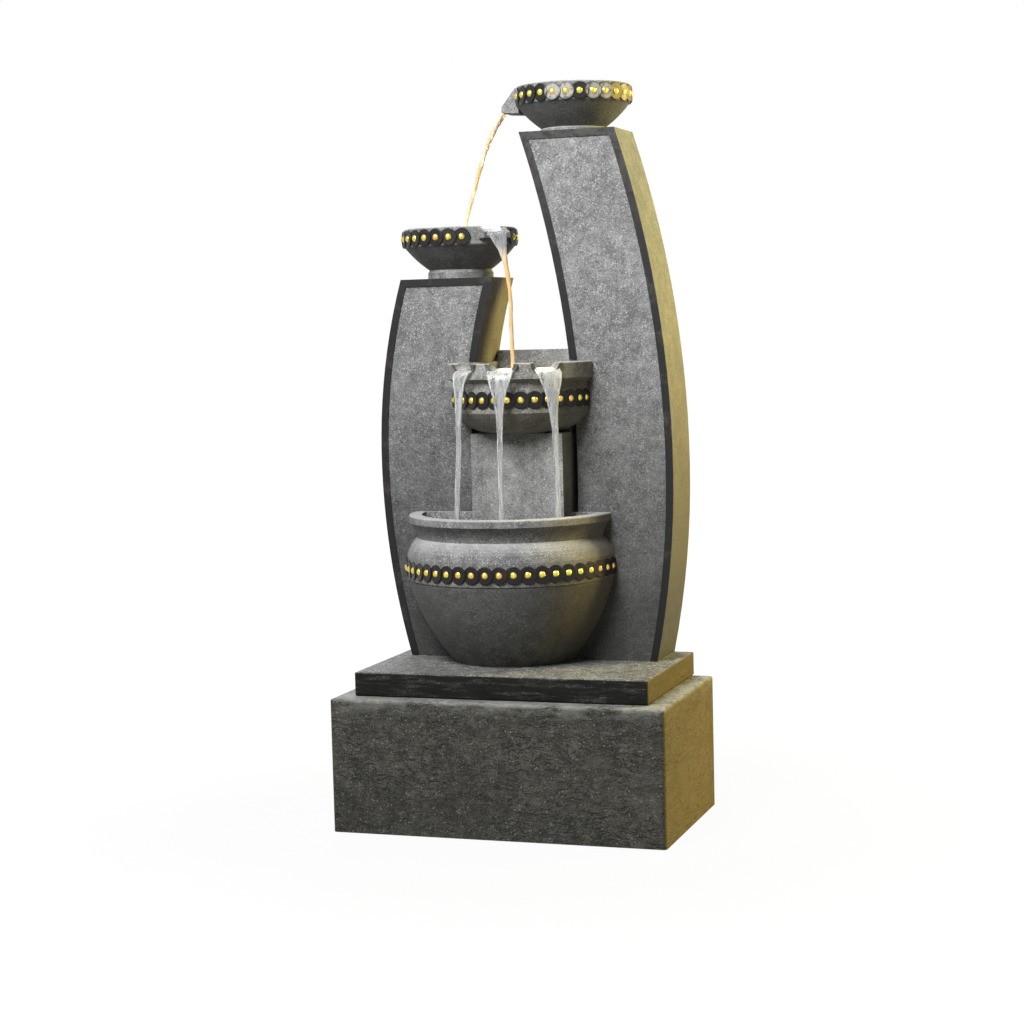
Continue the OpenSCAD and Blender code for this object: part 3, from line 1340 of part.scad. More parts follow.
plinth_shell();
base_tray();
step_slab();
tall_column_shell();
tall_column_back();
short_column_shell();
short_column_back();
column_borders();
centre_pilaster();
back_web();
panel_screws();
top_bowl();
second_bowl();
middle_bowl();
bottom_bowl();
top_bowl_discs();
second_bowl_discs();
middle_bowl_discs();
bottom_bowl_discs();
top_bowl_studs();
second_bowl_studs();
middle_bowl_studs();
bottom_bowl_studs();
reservoir_tub();
drain_spigot();
drain_plug();
return_pipe();
drain_grate();
pump_body();
impeller_shaft();
pump_impeller();
pump_strainer();
flow_dial();
pump_feet();
riser_hose();
hose_clamps();
top_nozzle();
nozzle_nut();
second_bowl_bolt();
second_bowl_nut();
lamp_bodies();
lamp_lenses();
top_lamp_lead();
second_lamp_lead();
middle_lamp_leads();
pump_lead();
transformer_box();
inlet_lead();
cable_grommet();
access_door();
door_seal();
door_hinge_leaves();
fixed_hinge_leaves();
hinge_pins();
door_screws();
latch_knob();
latch_cam();
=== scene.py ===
"""Looks of the tiered garden fountain: finishes, lapping disc bands and falling water."""

import logging
import math
from collections.abc import Callable
from dataclasses import dataclass, field
from enum import Enum

import bmesh
import bpy
from mathutils import Matrix, Vector, noise


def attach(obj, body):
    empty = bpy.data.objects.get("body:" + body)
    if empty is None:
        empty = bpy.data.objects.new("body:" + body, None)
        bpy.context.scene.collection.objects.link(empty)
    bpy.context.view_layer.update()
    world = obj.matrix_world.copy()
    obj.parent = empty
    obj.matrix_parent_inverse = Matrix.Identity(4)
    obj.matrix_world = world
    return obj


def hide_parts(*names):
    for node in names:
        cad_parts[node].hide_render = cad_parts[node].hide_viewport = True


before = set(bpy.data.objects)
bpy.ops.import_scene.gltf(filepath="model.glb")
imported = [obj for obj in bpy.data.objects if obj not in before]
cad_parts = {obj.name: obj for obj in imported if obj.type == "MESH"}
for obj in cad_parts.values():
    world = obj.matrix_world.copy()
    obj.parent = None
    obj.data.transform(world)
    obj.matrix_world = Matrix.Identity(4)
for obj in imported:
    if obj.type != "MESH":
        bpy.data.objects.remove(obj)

# Places and lengths are in millimetres, and heights in a finish in metres.

MM = 0.001
WELD = 1e-6
ROOT = "fountain"
LOG = logging.getLogger("fountain")
TOP_BAND = (73.98, 110.0, 1202.2)
SECOND_LIP_FOOT = 945.0
LAMP_POINTS = ((4.0, -58.0, 756.0), (60.0, -38.0, 756.0))

Triple = tuple[float, float, float]
Socket = bpy.types.NodeSocket
Material = bpy.types.Material


class Slot(Enum):
    """Names of the material slots for the stone and the black paint."""

    STONE = "cast_stone"
    BLACK = "black_paint"


def mm(x: float, y: float, z: float) -> Vector:
    """Gives a point in metres from millimetres."""
    return Vector((x * MM, y * MM, z * MM))


# Node trees


class Tree:
    """A material being built, with short ways to add and join its nodes."""

    def __init__(self, name: str) -> None:
        """Starts a material with one Principled shader.

        Args:
            name: Name of the material.
        """
        self.material = bpy.data.materials.new(name)
        self.material.use_nodes = True
        self.nodes = self.material.node_tree.nodes
        self.links = self.material.node_tree.links
        self.shader = self.nodes["Principled BSDF"]
        self.coords = self.nodes.new("ShaderNodeTexCoord")

    def join(self, source: Socket, target: Socket) -> None:
        """Links one socket to another."""
        self.links.new(source, target)

    def drive(self, **sources: Socket) -> None:
        """Joins sockets to inputs of the shader by name, with underscores for spaces."""
        for name, source in sources.items():
            self.join(source, self.shader.inputs[name.replace("_", " ")])

    def axes(self, kind: str) -> bpy.types.bpy_prop_collection:
        """Splits the object's coordinates or normals.

        Args:
            kind: Object or Normal.

        Returns:
            The outputs X, Y and Z.
        """
        node = self.nodes.new("ShaderNodeSeparateXYZ")
        self.join(self.coords.outputs[kind], node.inputs["Vector"])
        return node.outputs

    def mapped(self, scale: Triple) -> Socket:
        """Gives the object's coordinates stretched for each axis.

        Args:
            scale: The stretch of X, Y and Z.

        Returns:
            The stretched coordinates' socket.
        """
        node = self.nodes.new("ShaderNodeMapping")
        node.inputs["Scale"].default_value = scale
        self.join(self.coords.outputs["Object"], node.inputs["Vector"])
        return node.outputs["Vector"]

    def noise(
        self,
        scale: float,
        detail: float = 4.0,
        roughness: float = 0.55,
        vector: Socket | None = None,
    ) -> Socket:
        """Adds a noise texture.

        Args:
            scale: Repeats in a metre.
            detail: Octaves.
            roughness: Strength of the finer octaves.
            vector: Coordinates, or None for the object's own.

        Returns:
            The texture's value socket.
        """
        node = self.nodes.new("ShaderNodeTexNoise")
        node.inputs["Scale"].default_value = scale
        node.inputs["Detail"].default_value = detail
        node.inputs["Roughness"].default_value = roughness
        self.join(vector or self.coords.outputs["Object"], node.inputs["Vector"])
        return node.outputs["Fac"]

    def cells(self, scale: float) -> bpy.types.Node:
        """Adds a cell texture.

        Args:
            scale: Cells in a metre.

        Returns:
            The texture's node.
        """
        node = self.nodes.new("ShaderNodeTexVoronoi")
        node.inputs["Scale"].default_value = scale
        self.join(self.coords.outputs["Object"], node.inputs["Vector"])
        return node

    def ramp(
        self, value: Socket, low: float, high: float, start: float = 0.0, end: float = 1.0
    ) -> Socket:
        """Maps a value from one range to another, held inside it.

        Args:
            value: Socket to map.
            low: Value that gives start.
            high: Value that gives end.
            start: Result at low.
            end: Result at high.

        Returns:
            The mapped value's socket.
        """
        node = self.nodes.new("ShaderNodeMapRange")
        node.inputs["From Min"].default_value = low
        node.inputs["From Max"].default_value = high
        node.inputs["To Min"].default_value = start
        node.inputs["To Max"].default_value = end
        self.join(value, node.inputs["Value"])
        return node.outputs["Result"]

    def sum(
        self, kind: str, a: Socket, b: Socket | float
    ) -> Socket:
        """Adds a Math node of a kind such as ADD or MULTIPLY.

        Args:
            kind: Blender's name for the sum.
            a: First value.
            b: Second value, a socket or a number.

        Returns:
            The result's socket.
        """
        node = self.nodes.new("ShaderNodeMath")
        node.operation = kind
        self.join(a, node.inputs[0])
        if isinstance(b, (int, float)):
            node.inputs[1].default_value = b
        else:
            self.join(b, node.inputs[1])
        return node.outputs[0]

    def times(self, a: Socket, b: Socket | float) -> Socket:
        """Multiplies two values."""
        return self.sum("MULTIPLY", a, b)

    def plus(self, a: Socket, b: Socket | float) -> Socket:
        """Adds two values."""
        return self.sum("ADD", a, b)

    def minus(self, a: Socket, b: Socket | float) -> Socket:
        """Takes the second value from the first."""
        return self.sum("SUBTRACT", a, b)

    def larger(self, a: Socket, b: Socket | float) -> Socket:
        """Gives the larger of two values."""
        return self.sum("MAXIMUM", a, b)

    def ridge(self, value: Socket) -> Socket:
        """Gives how far a noise lies from its middle, so that 0 draws thin lines."""
        return self.sum("ABSOLUTE", self.minus(value, 0.5), 0.0)

    def blend(self, share: Socket, a: Socket | Triple, b: Socket | Triple) -> Socket:
        """Mixes two colours.

        Args:
            share: Share of the second colour.
            a: First colour, a socket or three numbers.
            b: Second colour, a socket or three numbers.

        Returns:
            The mixed colour's socket.
        """
        node = self.nodes.new("ShaderNodeMix")
        node.data_type = "RGBA"
        self.join(share, node.inputs["Factor"])
        for name, value in (("A", a), ("B", b)):
            socket = next(s for s in node.inputs if s.name == name and s.type == "RGBA")
            if isinstance(value, tuple):
                socket.default_value = (*value, 1.0)
            else:
                self.join(value, socket)
        return next(s for s in node.outputs if s.type == "RGBA")

    def bump(self, height: Socket, distance: float, strength: float) -> None:
        """Raises the surface by a height.

        Args:
            height: Socket with the height, 0 to 1.
            distance: Height in metres at 1.
            strength: Share of the effect.
        """
        node = self.nodes.new("ShaderNodeBump")
        node.inputs["Distance"].default_value = distance
        node.inputs["Strength"].default_value = strength
        self.join(height, node.inputs["Height"])
        self.drive(Normal=node.outputs["Normal"])

    def near(self, points: tuple[Triple, ...], reach: float, core: float) -> Socket | None:
        """Gives 1 close to any of some points and 0 further off.

        Args:
            points: The points in millimetres.
            reach: Distance in millimetres at which the value has fallen to 0.
            core: Distance in millimetres within which it is 1.

        Returns:
            The value's socket, or None.
        """
        most = None
        for point in points:
            away = self.nodes.new("ShaderNodeVectorMath")
            away.operation = "DISTANCE"
            self.join(self.coords.outputs["Object"], away.inputs[0])
            away.inputs[1].default_value = mm(*point)
            share = self.ramp(away.outputs["Value"], reach * MM, core * MM)
            most = share if most is None else self.larger(most, share)
        return most

    def set(self, **values: float | tuple) -> None:
        """Sets inputs of the shader by name, with underscores for spaces."""
        for name, value in values.items():
            self.shader.inputs[name.replace("_", " ")].default_value = value


@dataclass(frozen=True)
class CastStone:
    """Grey cast stone, dry-brushed: pits, white flecks, short curled scratches and level cracks,
    with painted shade low down and underneath, painted warm light on its right-facing sides, and
    tops made lighter partly by a painted highlight.
    """

    name: str
    light: Triple = (0.275, 0.277, 0.272)
    dark: Triple = (0.105, 0.105, 0.104)
    fleck: Triple = (0.66, 0.66, 0.64)
    pit: Triple = (0.028, 0.028, 0.027)
    fleck_share: float = 0.86
    scratches: float = 0.62
    # Up-facing faces lighter: partly dry-brushing, partly a painted highlight where light falls
    # from above.
    top_brush_and_highlight: float = 0.25
    # Painted shade: shade darkens the colour towards shade_tone from shade_top down to shade_foot,
    # and under darkens faces that point down.
    shade: float = 0.75
    shade_top: float = 0.80
    shade_foot: float = 0.33
    shade_tone: Triple = (0.022, 0.022, 0.019)
    under: float = 0.55
    gloss: float = 0.35
    relief: float = 0.0011
    # A patchy lighter band just under a height (the plinth's top edge): partly dry-brushing, partly
    # a painted highlight along the rounded edge.
    light_band_top: float = 0.0
    light_band_depth: float = 0.026
    # Painted warm light: the right-facing sides turn warm yellow, more so lower down.
    warm_side_light: float = 0.55
    warm_side_light_tone: Triple = (0.20, 0.145, 0.030)
    cracks: float = 0.0
    crack_tone: Triple = (0.016, 0.016, 0.014)
    crack_depth: float = 0.8
    paint_front: float = 0.0
    paint_side: float = 0.0
    paint_tone: Triple = (0.0045, 0.0042, 0.0036)

    def ground(self, tree: Tree) -> tuple[Socket, Socket]:
        """Lays the stone's clouds, grain and pits.

        Args:
            tree: The material being built.

        Returns:
            The colour's socket and the height's socket.
        """
        clouds = tree.noise(6.0, 4.0, 0.6)
        blotches = tree.noise(48.0, 3.0, 0.6)
        grit = tree.noise(420.0, 3.0, 0.75)
        mixed = tree.times(clouds, 0.20)
        for layer, share in ((blotches, 0.28), (grit, 0.52)):
            mixed = tree.plus(mixed, tree.times(layer, share))
        colour = tree.blend(tree.ramp(mixed, 0.425, 0.580), self.dark, self.light)
        pits = tree.noise(520.0, 2.0, 0.6)
        colour = tree.blend(tree.ramp(pits, 0.60, 0.74, 0.0, 0.6), colour, self.pit)
        height = tree.plus(tree.times(blotches, 0.5), tree.times(grit, 0.5))
        return colour, tree.minus(height, tree.times(pits, 0.4))

    def flecks(self, tree: Tree, colour: Socket, calm: Socket) -> Socket:
        """Adds white flecks and short curled scratches to a colour.

        Args:
            tree: The material being built.
            colour: The colour that takes them.
            calm: Share of them that shows.

        Returns:
            The new colour's socket.
        """
        cells = tree.cells(330.0)
        pick = tree.nodes.new("ShaderNodeSeparateColor")
        tree.join(cells.outputs["Color"], pick.inputs["Color"])
        chosen = tree.ramp(pick.outputs["Red"], self.fleck_share, self.fleck_share + 0.02)
        spots = tree.times(chosen, tree.ramp(cells.outputs["Distance"], 0.46, 0.28))
        spots = tree.times(spots, tree.ramp(pick.outputs["Green"], 0.0, 1.0, 0.1, 0.80))
        spots = tree.times(spots, calm)
        colour = tree.blend(spots, colour, self.fleck)
        layers = (
            (150.0, 0.020, 40.0, self.scratches, self.fleck),
            (280.0, 0.034, 75.0, 0.8 * self.scratches, self.fleck),
            (95.0, 0.012, 30.0, 0.9 * self.scratches, self.pit),
        )
        for scale, width, patch, most, tone in layers:
            line = tree.ramp(tree.ridge(tree.noise(scale, 2.0, 0.5)), width, 0.25 * width)
            worn = tree.ramp(tree.noise(patch, 3.0), 0.42, 0.60, 0.0, most)
            worn = tree.times(worn, calm)
            colour = tree.blend(tree.times(line, worn), colour, tone)
        return colour

    def level_cracks(self, tree: Tree) -> Socket:
        """Draws thin, mostly level cracks.

        Args:
            tree: The material being built.

        Returns:
            A socket that is 1 in a crack.
        """
        bent = tree.nodes.new("ShaderNodeVectorMath")
        bent.operation = "MULTIPLY_ADD"
        warp = tree.nodes.new("ShaderNodeTexNoise")
        warp.inputs["Scale"].default_value = 26.0
        tree.join(tree.mapped((30.0, 30.0, 190.0)), bent.inputs[2])
        tree.join(tree.coords.outputs["Object"], warp.inputs["Vector"])
        tree.join(warp.outputs["Color"], bent.inputs[0])
        bent.inputs[1].default_value = (2.4, 2.4, 5.0)
        field_noise = tree.noise(1.0, 3.0, 0.6, bent.outputs["Vector"])
        line = tree.ramp(tree.ridge(field_noise), 0.036, 0.006)
        return tree.times(line, tree.ramp(tree.noise(13.0, 4.0), 0.34, 0.54, 0.15, self.cracks))

    def build(self) -> Material:
        """Builds the stone's nodes.

        Returns:
            The material.
        """
        tree = Tree(self.name)
        facing, place = tree.axes("Normal"), tree.axes("Object")
        colour, height = self.ground(tree)
        sideways = tree.sum("ABSOLUTE", facing["X"], 0.0)
        colour = self.flecks(tree, colour, tree.ramp(sideways, 0.35, 0.75, 1.0, 0.4))
        # Up-facing faces lighter: partly dry-brushing, partly a painted highlight from light above.
        brushed = tree.ramp(facing["Z"], 0.35, 0.85, 0.0, self.top_brush_and_highlight)
        colour = tree.blend(brushed, colour, self.fleck)
        if self.cracks:
            line = self.level_cracks(tree)
            colour = tree.blend(line, colour, self.crack_tone)
            height = tree.minus(height, tree.times(line, self.crack_depth))
        if self.paint_front:
            upright = tree.ramp(facing["Z"], 0.75, 0.55)
            side = tree.ramp(facing["X"], 0.4, 0.8, self.paint_front, self.paint_side)
            level = tree.noise(1.0, 4.0, 0.7, tree.mapped((16.0, 16.0, 150.0)))
            worn = tree.ramp(level, 0.34, 0.50, 0.72, 1.0)
            painted = tree.times(tree.times(upright, side), worn)
            colour = tree.blend(painted, colour, self.paint_tone)
        # Lighter patchy band under the top edge: partly dry-brushing, partly a painted highlight
        # along the rounded edge.
        if self.light_band_top:
            foot = self.light_band_top - self.light_band_depth
            edge = tree.ramp(place["Z"], foot, self.light_band_top, 0.0, 0.55)
            light_band_patches = tree.noise(1.0, 4.0, 0.7, tree.mapped((22.0, 22.0, 60.0)))
            light_band = tree.times(edge, tree.ramp(light_band_patches, 0.42, 0.58))
            colour = tree.blend(light_band, colour, self.fleck)
        # Painted warm light: faces turned to the right take a warm yellow, more of it lower down.
        lower = tree.ramp(place["Z"], 1.20, 0.1, 0.0, self.warm_side_light)
        warm_side_light = tree.times(tree.ramp(facing["X"], 0.5, 0.9), lower)
        colour = tree.blend(warm_side_light, colour, self.warm_side_light_tone)
        # Painted shade: darker towards the foot, and on faces that point down.
        low = tree.ramp(place["Z"], self.shade_top, self.shade_foot, 0.0, self.shade)
        underside_shade = tree.ramp(facing["Z"], -0.05, -0.60, 0.0, self.under)
        colour = tree.blend(tree.larger(low, underside_shade), colour, self.shade_tone)
        tree.set(Specular_IOR_Level=self.gloss)
        rough = tree.ramp(tree.noise(48.0), 0.3, 0.7, 0.66, 0.90)
        tree.drive(Base_Color=colour, Roughness=rough)
        tree.bump(height, self.relief, 0.85)
        return tree.material


@dataclass(frozen=True)
class Paint:
    """Hand-brushed black paint over the stone, worn thin in places, whole at others."""

    name: str
    colour: Triple = (0.0075, 0.0072, 0.0068)
    worn: Triple = (0.055, 0.053, 0.047)
    roughness: float = 0.50
    gloss: float = 0.28
    worn_low: float = 0.54
    fade: float = 0.0
    # Round some points the paint takes a painted highlight, and round others a painted warm
    # reflection.
    spot_reach: float = 14.5
    spot_core: float = 11.5
    highlight_tone: Triple = (0.34, 0.335, 0.30)
    highlight_points: tuple[Triple, ...] = ()
    painted_warm_light: Triple = (0.22, 0.145, 0.010)
    warm_reflection_points: tuple[Triple, ...] = ()

    def build(self) -> Material:
        """Builds the paint's nodes.

        Returns:
            The material.
        """
        tree = Tree(self.name)
        strokes = tree.noise(90.0, 4.0, 0.6)
        patches = tree.noise(24.0, 5.0, 0.7)
        share = tree.ramp(patches, self.worn_low, self.worn_low + 0.16, 0.0, 0.85)
        if self.fade:
            high = tree.ramp(tree.axes("Object")["Z"], 0.95, 1.14, 0.0, self.fade)
            brushed = tree.ramp(tree.noise(70.0, 4.0, 0.7), 0.42, 0.56)
            share = tree.larger(share, tree.times(high, brushed))
        colour = tree.blend(share, self.colour, self.worn)
        # Painted highlight and painted warm reflection on the discs near the given points.
        for points, tone in ((self.highlight_points, self.highlight_tone), (self.warm_reflection_points, self.painted_warm_light)):
            near = tree.near(points, self.spot_reach, self.spot_core)
            if near is not None:
                thin = tree.ramp(tree.noise(160.0, 3.0), 0.36, 0.52, 0.30, 0.95)
                colour = tree.blend(tree.times(near, thin), colour, tone)
        tree.set(Specular_IOR_Level=self.gloss)
        rough = tree.ramp(strokes, 0.3, 0.7, self.roughness - 0.12, self.roughness + 0.16)
        tree.drive(Base_Color=colour, Roughness=rough)
        tree.bump(tree.plus(strokes, patches), 0.0006, 0.6)
        return tree.material


@dataclass(frozen=True)
class Metal:
    """A metal with small differences in gloss and fine marks."""

    name: str
    colour: Triple
    worn: Triple
    roughness: float = 0.3
    patches: float = 75.0

    def build(self) -> Material:
        """Builds the metal's nodes.

        Returns:
            The material.
        """
        tree = Tree(self.name)
        tree.set(Metallic=1.0)
        marks = tree.noise(260.0, 3.0, 0.6)
        tarnish = tree.noise(self.patches, 3.0, 0.6)
        share = tree.ramp(tarnish, 0.44, 0.60)
        rough = tree.ramp(marks, 0.3, 0.7, self.roughness - 0.08, self.roughness + 0.14)
        tree.drive(Base_Color=tree.blend(share, self.colour, self.worn), Roughness=rough)
        tree.bump(marks, 0.00012, 0.5)
        return tree.material


@dataclass(frozen=True)
class Moulded:
    """Moulded plastic or rubber with a fine spark-eroded skin."""

    name: str
    colour: Triple
    roughness: float = 0.5
    skin: float = 0.00008
    clear: float = 0.0

    def build(self) -> Material:
        """Builds the plastic's nodes.

        Returns:
            The material.
        """
        tree = Tree(self.name)
        skin = tree.noise(900.0, 2.0, 0.6)
        soft = tree.noise(20.0, 3.0, 0.5)
        lighter = tuple(min(1.0, c * 1.35 + 0.004) for c in self.colour)
        share = tree.ramp(soft, 0.35, 0.7)
        rough = tree.ramp(soft, 0.3, 0.7, self.roughness - 0.06, self.roughness + 0.08)
        tree.drive(Base_Color=tree.blend(share, self.colour, lighter), Roughness=rough)
        tree.set(Transmission_Weight=self.clear)
        tree.bump(skin, self.skin, 0.6)
        return tree.material


@dataclass(frozen=True)
class Glow:
    """Frosted lens with a warm lamp behind it."""

    name: str
    colour: Triple = (1.0, 0.72, 0.30)
    centre: Triple = (1.0, 0.86, 0.55)
    strength: float = 3.0

    def build(self) -> Material:
        """Builds the lens's nodes.

        Returns:
            The material.
        """
        tree = Tree(self.name)
        frost = tree.noise(300.0, 2.0, 0.5)
        warm = tree.blend(tree.ramp(frost, 0.3, 0.7), self.colour, self.centre)
        tree.drive(Base_Color=warm, Emission_Color=warm)
        tree.set(Emission_Strength=self.strength, Roughness=0.35)
        tree.bump(frost, 0.0001, 0.5)
        return tree.material


@dataclass(frozen=True)
class Water:
    """Clear water with streaks of air that catch the light, with a painted warm glow where a lamp
    shines in it, and a painted warm tint and glow in the gold-lit streams.
    """

    name: str
    streaks: Triple = (150.0, 150.0, 16.0)
    clear: Triple = (0.96, 0.97, 0.97)
    foam: Triple = (0.62, 0.63, 0.62)
    warm: Triple = (0.56, 0.56, 0.52)
    foam_low: float = 0.36
    foam_high: float = 0.54
    foam_most: float = 0.80
    clear_above: float = 0.0
    clear_fade: float = 0.012
    clear_foam: Triple = (0.40, 0.41, 0.40)
    ripple: float = 0.0010
    glow: Triple = (1.0, 0.84, 0.42)
    glow_all: float = 0.0
    glow_points: tuple[Triple, ...] = ()
    glow_reach: float = 20.0
    glow_strength: float = 1.5

    def build(self) -> Material:
        """Builds the water's nodes.

        Returns:
            The material.
        """
        tree = Tree(self.name)
        tree.set(IOR=1.333, Roughness=0.10)
        flow = tree.noise(1.0, 4.0, 0.6, tree.mapped(self.streaks))
        tint = tree.noise(1.0, 2.0, 0.5, tree.mapped(tuple(0.45 * s for s in self.streaks)))
        air = tree.ramp(flow, self.foam_low, self.foam_high, 0.0, self.foam_most)
        colour = tree.blend(tree.ramp(tint, 0.42, 0.60), self.foam, self.warm)
        warm_lit_share = None
        # Painted warm light: above a height the water is gold-lit, below it clear.
        if self.clear_above:
            top = self.clear_above * MM
            height = tree.axes("Object")["Z"]
            warm_lit_share = tree.ramp(height, top + self.clear_fade, top - self.clear_fade)
            colour = tree.blend(warm_lit_share, self.clear_foam, colour)
            air = tree.times(air, tree.ramp(warm_lit_share, 0.0, 1.0, 0.35, 1.0))
        tree.drive(
            Base_Color=tree.blend(air, self.clear, colour),
            Transmission_Weight=tree.ramp(air, 0.0, 1.0, 1.0, 0.0),
        )
        # Painted glow: round the lamps' points, or over the whole of a gold-lit stream.
        tree.set(Emission_Color=(*self.glow, 1.0))
        near = tree.near(self.glow_points, self.glow_reach, 0.3 * self.glow_reach)
        if self.glow_all:
            shine = tree.ramp(tint, 0.40, 0.62, 0.25 * self.glow_all, self.glow_all)
            shine = tree.times(shine, warm_lit_share) if warm_lit_share is not None else shine
            tree.drive(Emission_Strength=shine)
        elif near is not None:
            tree.drive(Emission_Strength=tree.times(near, self.glow_strength))
        tree.bump(flow, self.ripple, 0.7)
        return tree.material


class Finishes:
    """Every finish of the fountain, built once."""

    def __init__(self) -> None:
        """Builds the materials."""
        self.stone = CastStone("cast_stone").build()
        # A darker copy of the stone as painted shade on the short column, with stronger painted
        # shade low down and more painted warm light on its right-facing sides.
        self.shaded_short_stone = CastStone(
            "short_column_shaded_stone", light=(0.232, 0.233, 0.230), dark=(0.086, 0.086, 0.086),
            shade=0.80, warm_side_light=1.5,
        ).build()
        # A lighter copy of the stone without the painted foot shade: painted light on the recessed
        # pilaster.
        self.inner = CastStone(
            "inner_lit_stone", light=(0.35, 0.35, 0.335), dark=(0.14, 0.14, 0.135), shade=0.0,
        ).build()
        # A lighter copy of the stone: painted light on the recessed back web, with painted shade
        # low down from a lower height.
        self.lit_web_stone = CastStone(
            "web_lit_stone", light=(0.32, 0.32, 0.30), dark=(0.12, 0.12, 0.115), shade_top=0.72,
        ).build()
        # Upper bowls: painted shade on their undersides, and tops lighter partly by a painted
        # highlight; no painted foot shade.
        self.upper_bowls = CastStone(
            "upper_bowl_stone", light=(0.27, 0.27, 0.262), shade=0.0, top_brush_and_highlight=0.4, under=0.62,
        ).build()
        # Middle bowl: a lighter copy with painted brown shade below the band and under it, and tops
        # lighter partly by a painted highlight.
        self.middle_bowl = CastStone(
            "middle_bowl_stone", light=(0.33, 0.325, 0.29), dark=(0.12, 0.117, 0.10), shade=0.50,
            shade_top=0.695, shade_foot=0.655, shade_tone=(0.058, 0.044, 0.020), under=0.40,
            top_brush_and_highlight=0.4,
        ).build()
        # Bottom bowl: painted shade below the band and underneath, and a shoulder lighter partly by
        # a painted highlight.
        self.bottom_bowl = CastStone(
            "bottom_bowl_stone", shade=0.53, shade_top=0.425, shade_foot=0.395, top_brush_and_highlight=0.40,
            fleck_share=0.83, under=0.45,
        ).build()
        # The plinth's lighter top and the lighter band under its top edge are partly dry-brushing
        # and partly a painted highlight.
        self.plinth = CastStone(
            "plinth_stone", light=(0.118, 0.113, 0.096), dark=(0.022, 0.021, 0.0175),
            fleck=(0.34, 0.34, 0.31), fleck_share=0.88, scratches=0.34, top_brush_and_highlight=0.45,
            shade=0.0, gloss=0.2, light_band_top=0.2222, cracks=0.95,
        ).build()
        self.slab = CastStone(
            "slab_stone", light=(0.19, 0.19, 0.178), dark=(0.075, 0.075, 0.070), fleck_share=0.80,
            top_brush_and_highlight=0.0, shade=0.0, gloss=0.2, cracks=0.6, paint_front=0.985, paint_side=0.85,
        ).build()
        self.paint = Paint("black_paint", fade=0.75).build()
        # Painted highlights on four discs of the top band, and painted warm reflections on the
        # three at its right end.
        lit_disc_radius, x, y, z = 97.0, *TOP_BAND
        turns = map(math.radians, (-93.3, -80.0, -53.3, -40.0, -26.7, -13.3, 0.0))
        spots = tuple((x + lit_disc_radius * math.cos(a), y + lit_disc_radius * math.sin(a), z) for a in turns)
        # The scales' brown worn tone is partly worn paint and partly a painted reddish sheen.
        self.scale_paint = Paint(
            "black_scales", (0.0065, 0.0052, 0.0045), (0.040, 0.022, 0.012), 0.44,
            highlight_points=spots[:4], warm_reflection_points=spots[4:],
        ).build()
        self.gold = Metal(
            "gold_studs", (0.64, 0.62, 0.11), (0.76, 0.44, 0.12), 0.30, patches=34.0
        ).build()
        self.steel = Metal("plated_steel", (0.62, 0.62, 0.63), (0.45, 0.45, 0.46), 0.32).build()
        self.plastic = Moulded("black_plastic", (0.028, 0.029, 0.031)).build()
        self.grey_plastic = Moulded("grey_plastic", (0.16, 0.17, 0.18)).build()
        self.rubber = Moulded("black_rubber", (0.018, 0.018, 0.018), 0.72, 0.00012).build()
        self.hose = Moulded("clear_hose", (0.62, 0.70, 0.70), 0.25, 0.00006, 0.7).build()
        self.lens = Glow("lamp_lens").build()
        self.falling = Water("falling_water", foam_most=0.36, glow_points=LAMP_POINTS).build()
        self.strand = Water(
            "falling_strands", foam=(0.74, 0.75, 0.74), warm=(0.60, 0.60, 0.56), foam_most=0.62,
            glow_points=LAMP_POINTS,
        ).build()
        # Painted warm light: a gold tint and glow for the gold-lit upper streams.
        painted_warm_light = {
            "streaks": (190.0, 190.0, 22.0), "foam": (0.86, 0.69, 0.39), "warm": (0.60, 0.36, 0.10),
            "foam_low": 0.32, "foam_high": 0.46, "foam_most": 0.92, "glow": (1.0, 0.68, 0.26),
            "glow_all": 0.20,
        }
        self.warm_lit = Water("lit_water", **painted_warm_light).build()
        self.half_warm_lit = Water("half_lit_water", clear_above=SECOND_LIP_FOOT, **painted_warm_light).build()
        self.still = Water(
            "still_water", (22.0, 22.0, 22.0), foam_low=0.62, foam_high=0.8, foam_most=0.5,
            ripple=0.004, glow_points=LAMP_POINTS,
        ).build()


def dress(piece: bpy.types.Object, material: Material) -> None:
    """Gives a piece one material.

    Args:
        piece: Object to dress.
        material: Its finish.
    """
    if piece.material_slots:
        for slot in piece.material_slots:
            slot.link = "DATA"
            slot.material = material
    else:
        piece.data.materials.append(material)


def piece_from(bm: bmesh.types.BMesh, name: str, smooth: bool = True) -> bpy.types.Object:
    """Makes an object from a finished bmesh, with its faces pointing outward.

    Args:
        bm: The mesh, which is freed.
        name: Name of the piece.
        smooth: Whether its faces are shaded smooth.

    Returns:
        The new object, at the origin.
    """
    bmesh.ops.remove_doubles(bm, verts=bm.verts, dist=WELD)
    bmesh.ops.recalc_face_normals(bm, faces=bm.faces)
    for face in bm.faces:
        face.smooth = smooth
    mesh = bpy.data.meshes.new(name)
    bm.to_mesh(mesh)
    bm.free()
    piece = bpy.data.objects.new(name, mesh)
    bpy.context.scene.collection.objects.link(piece)
    return piece


# Sub-assemblies


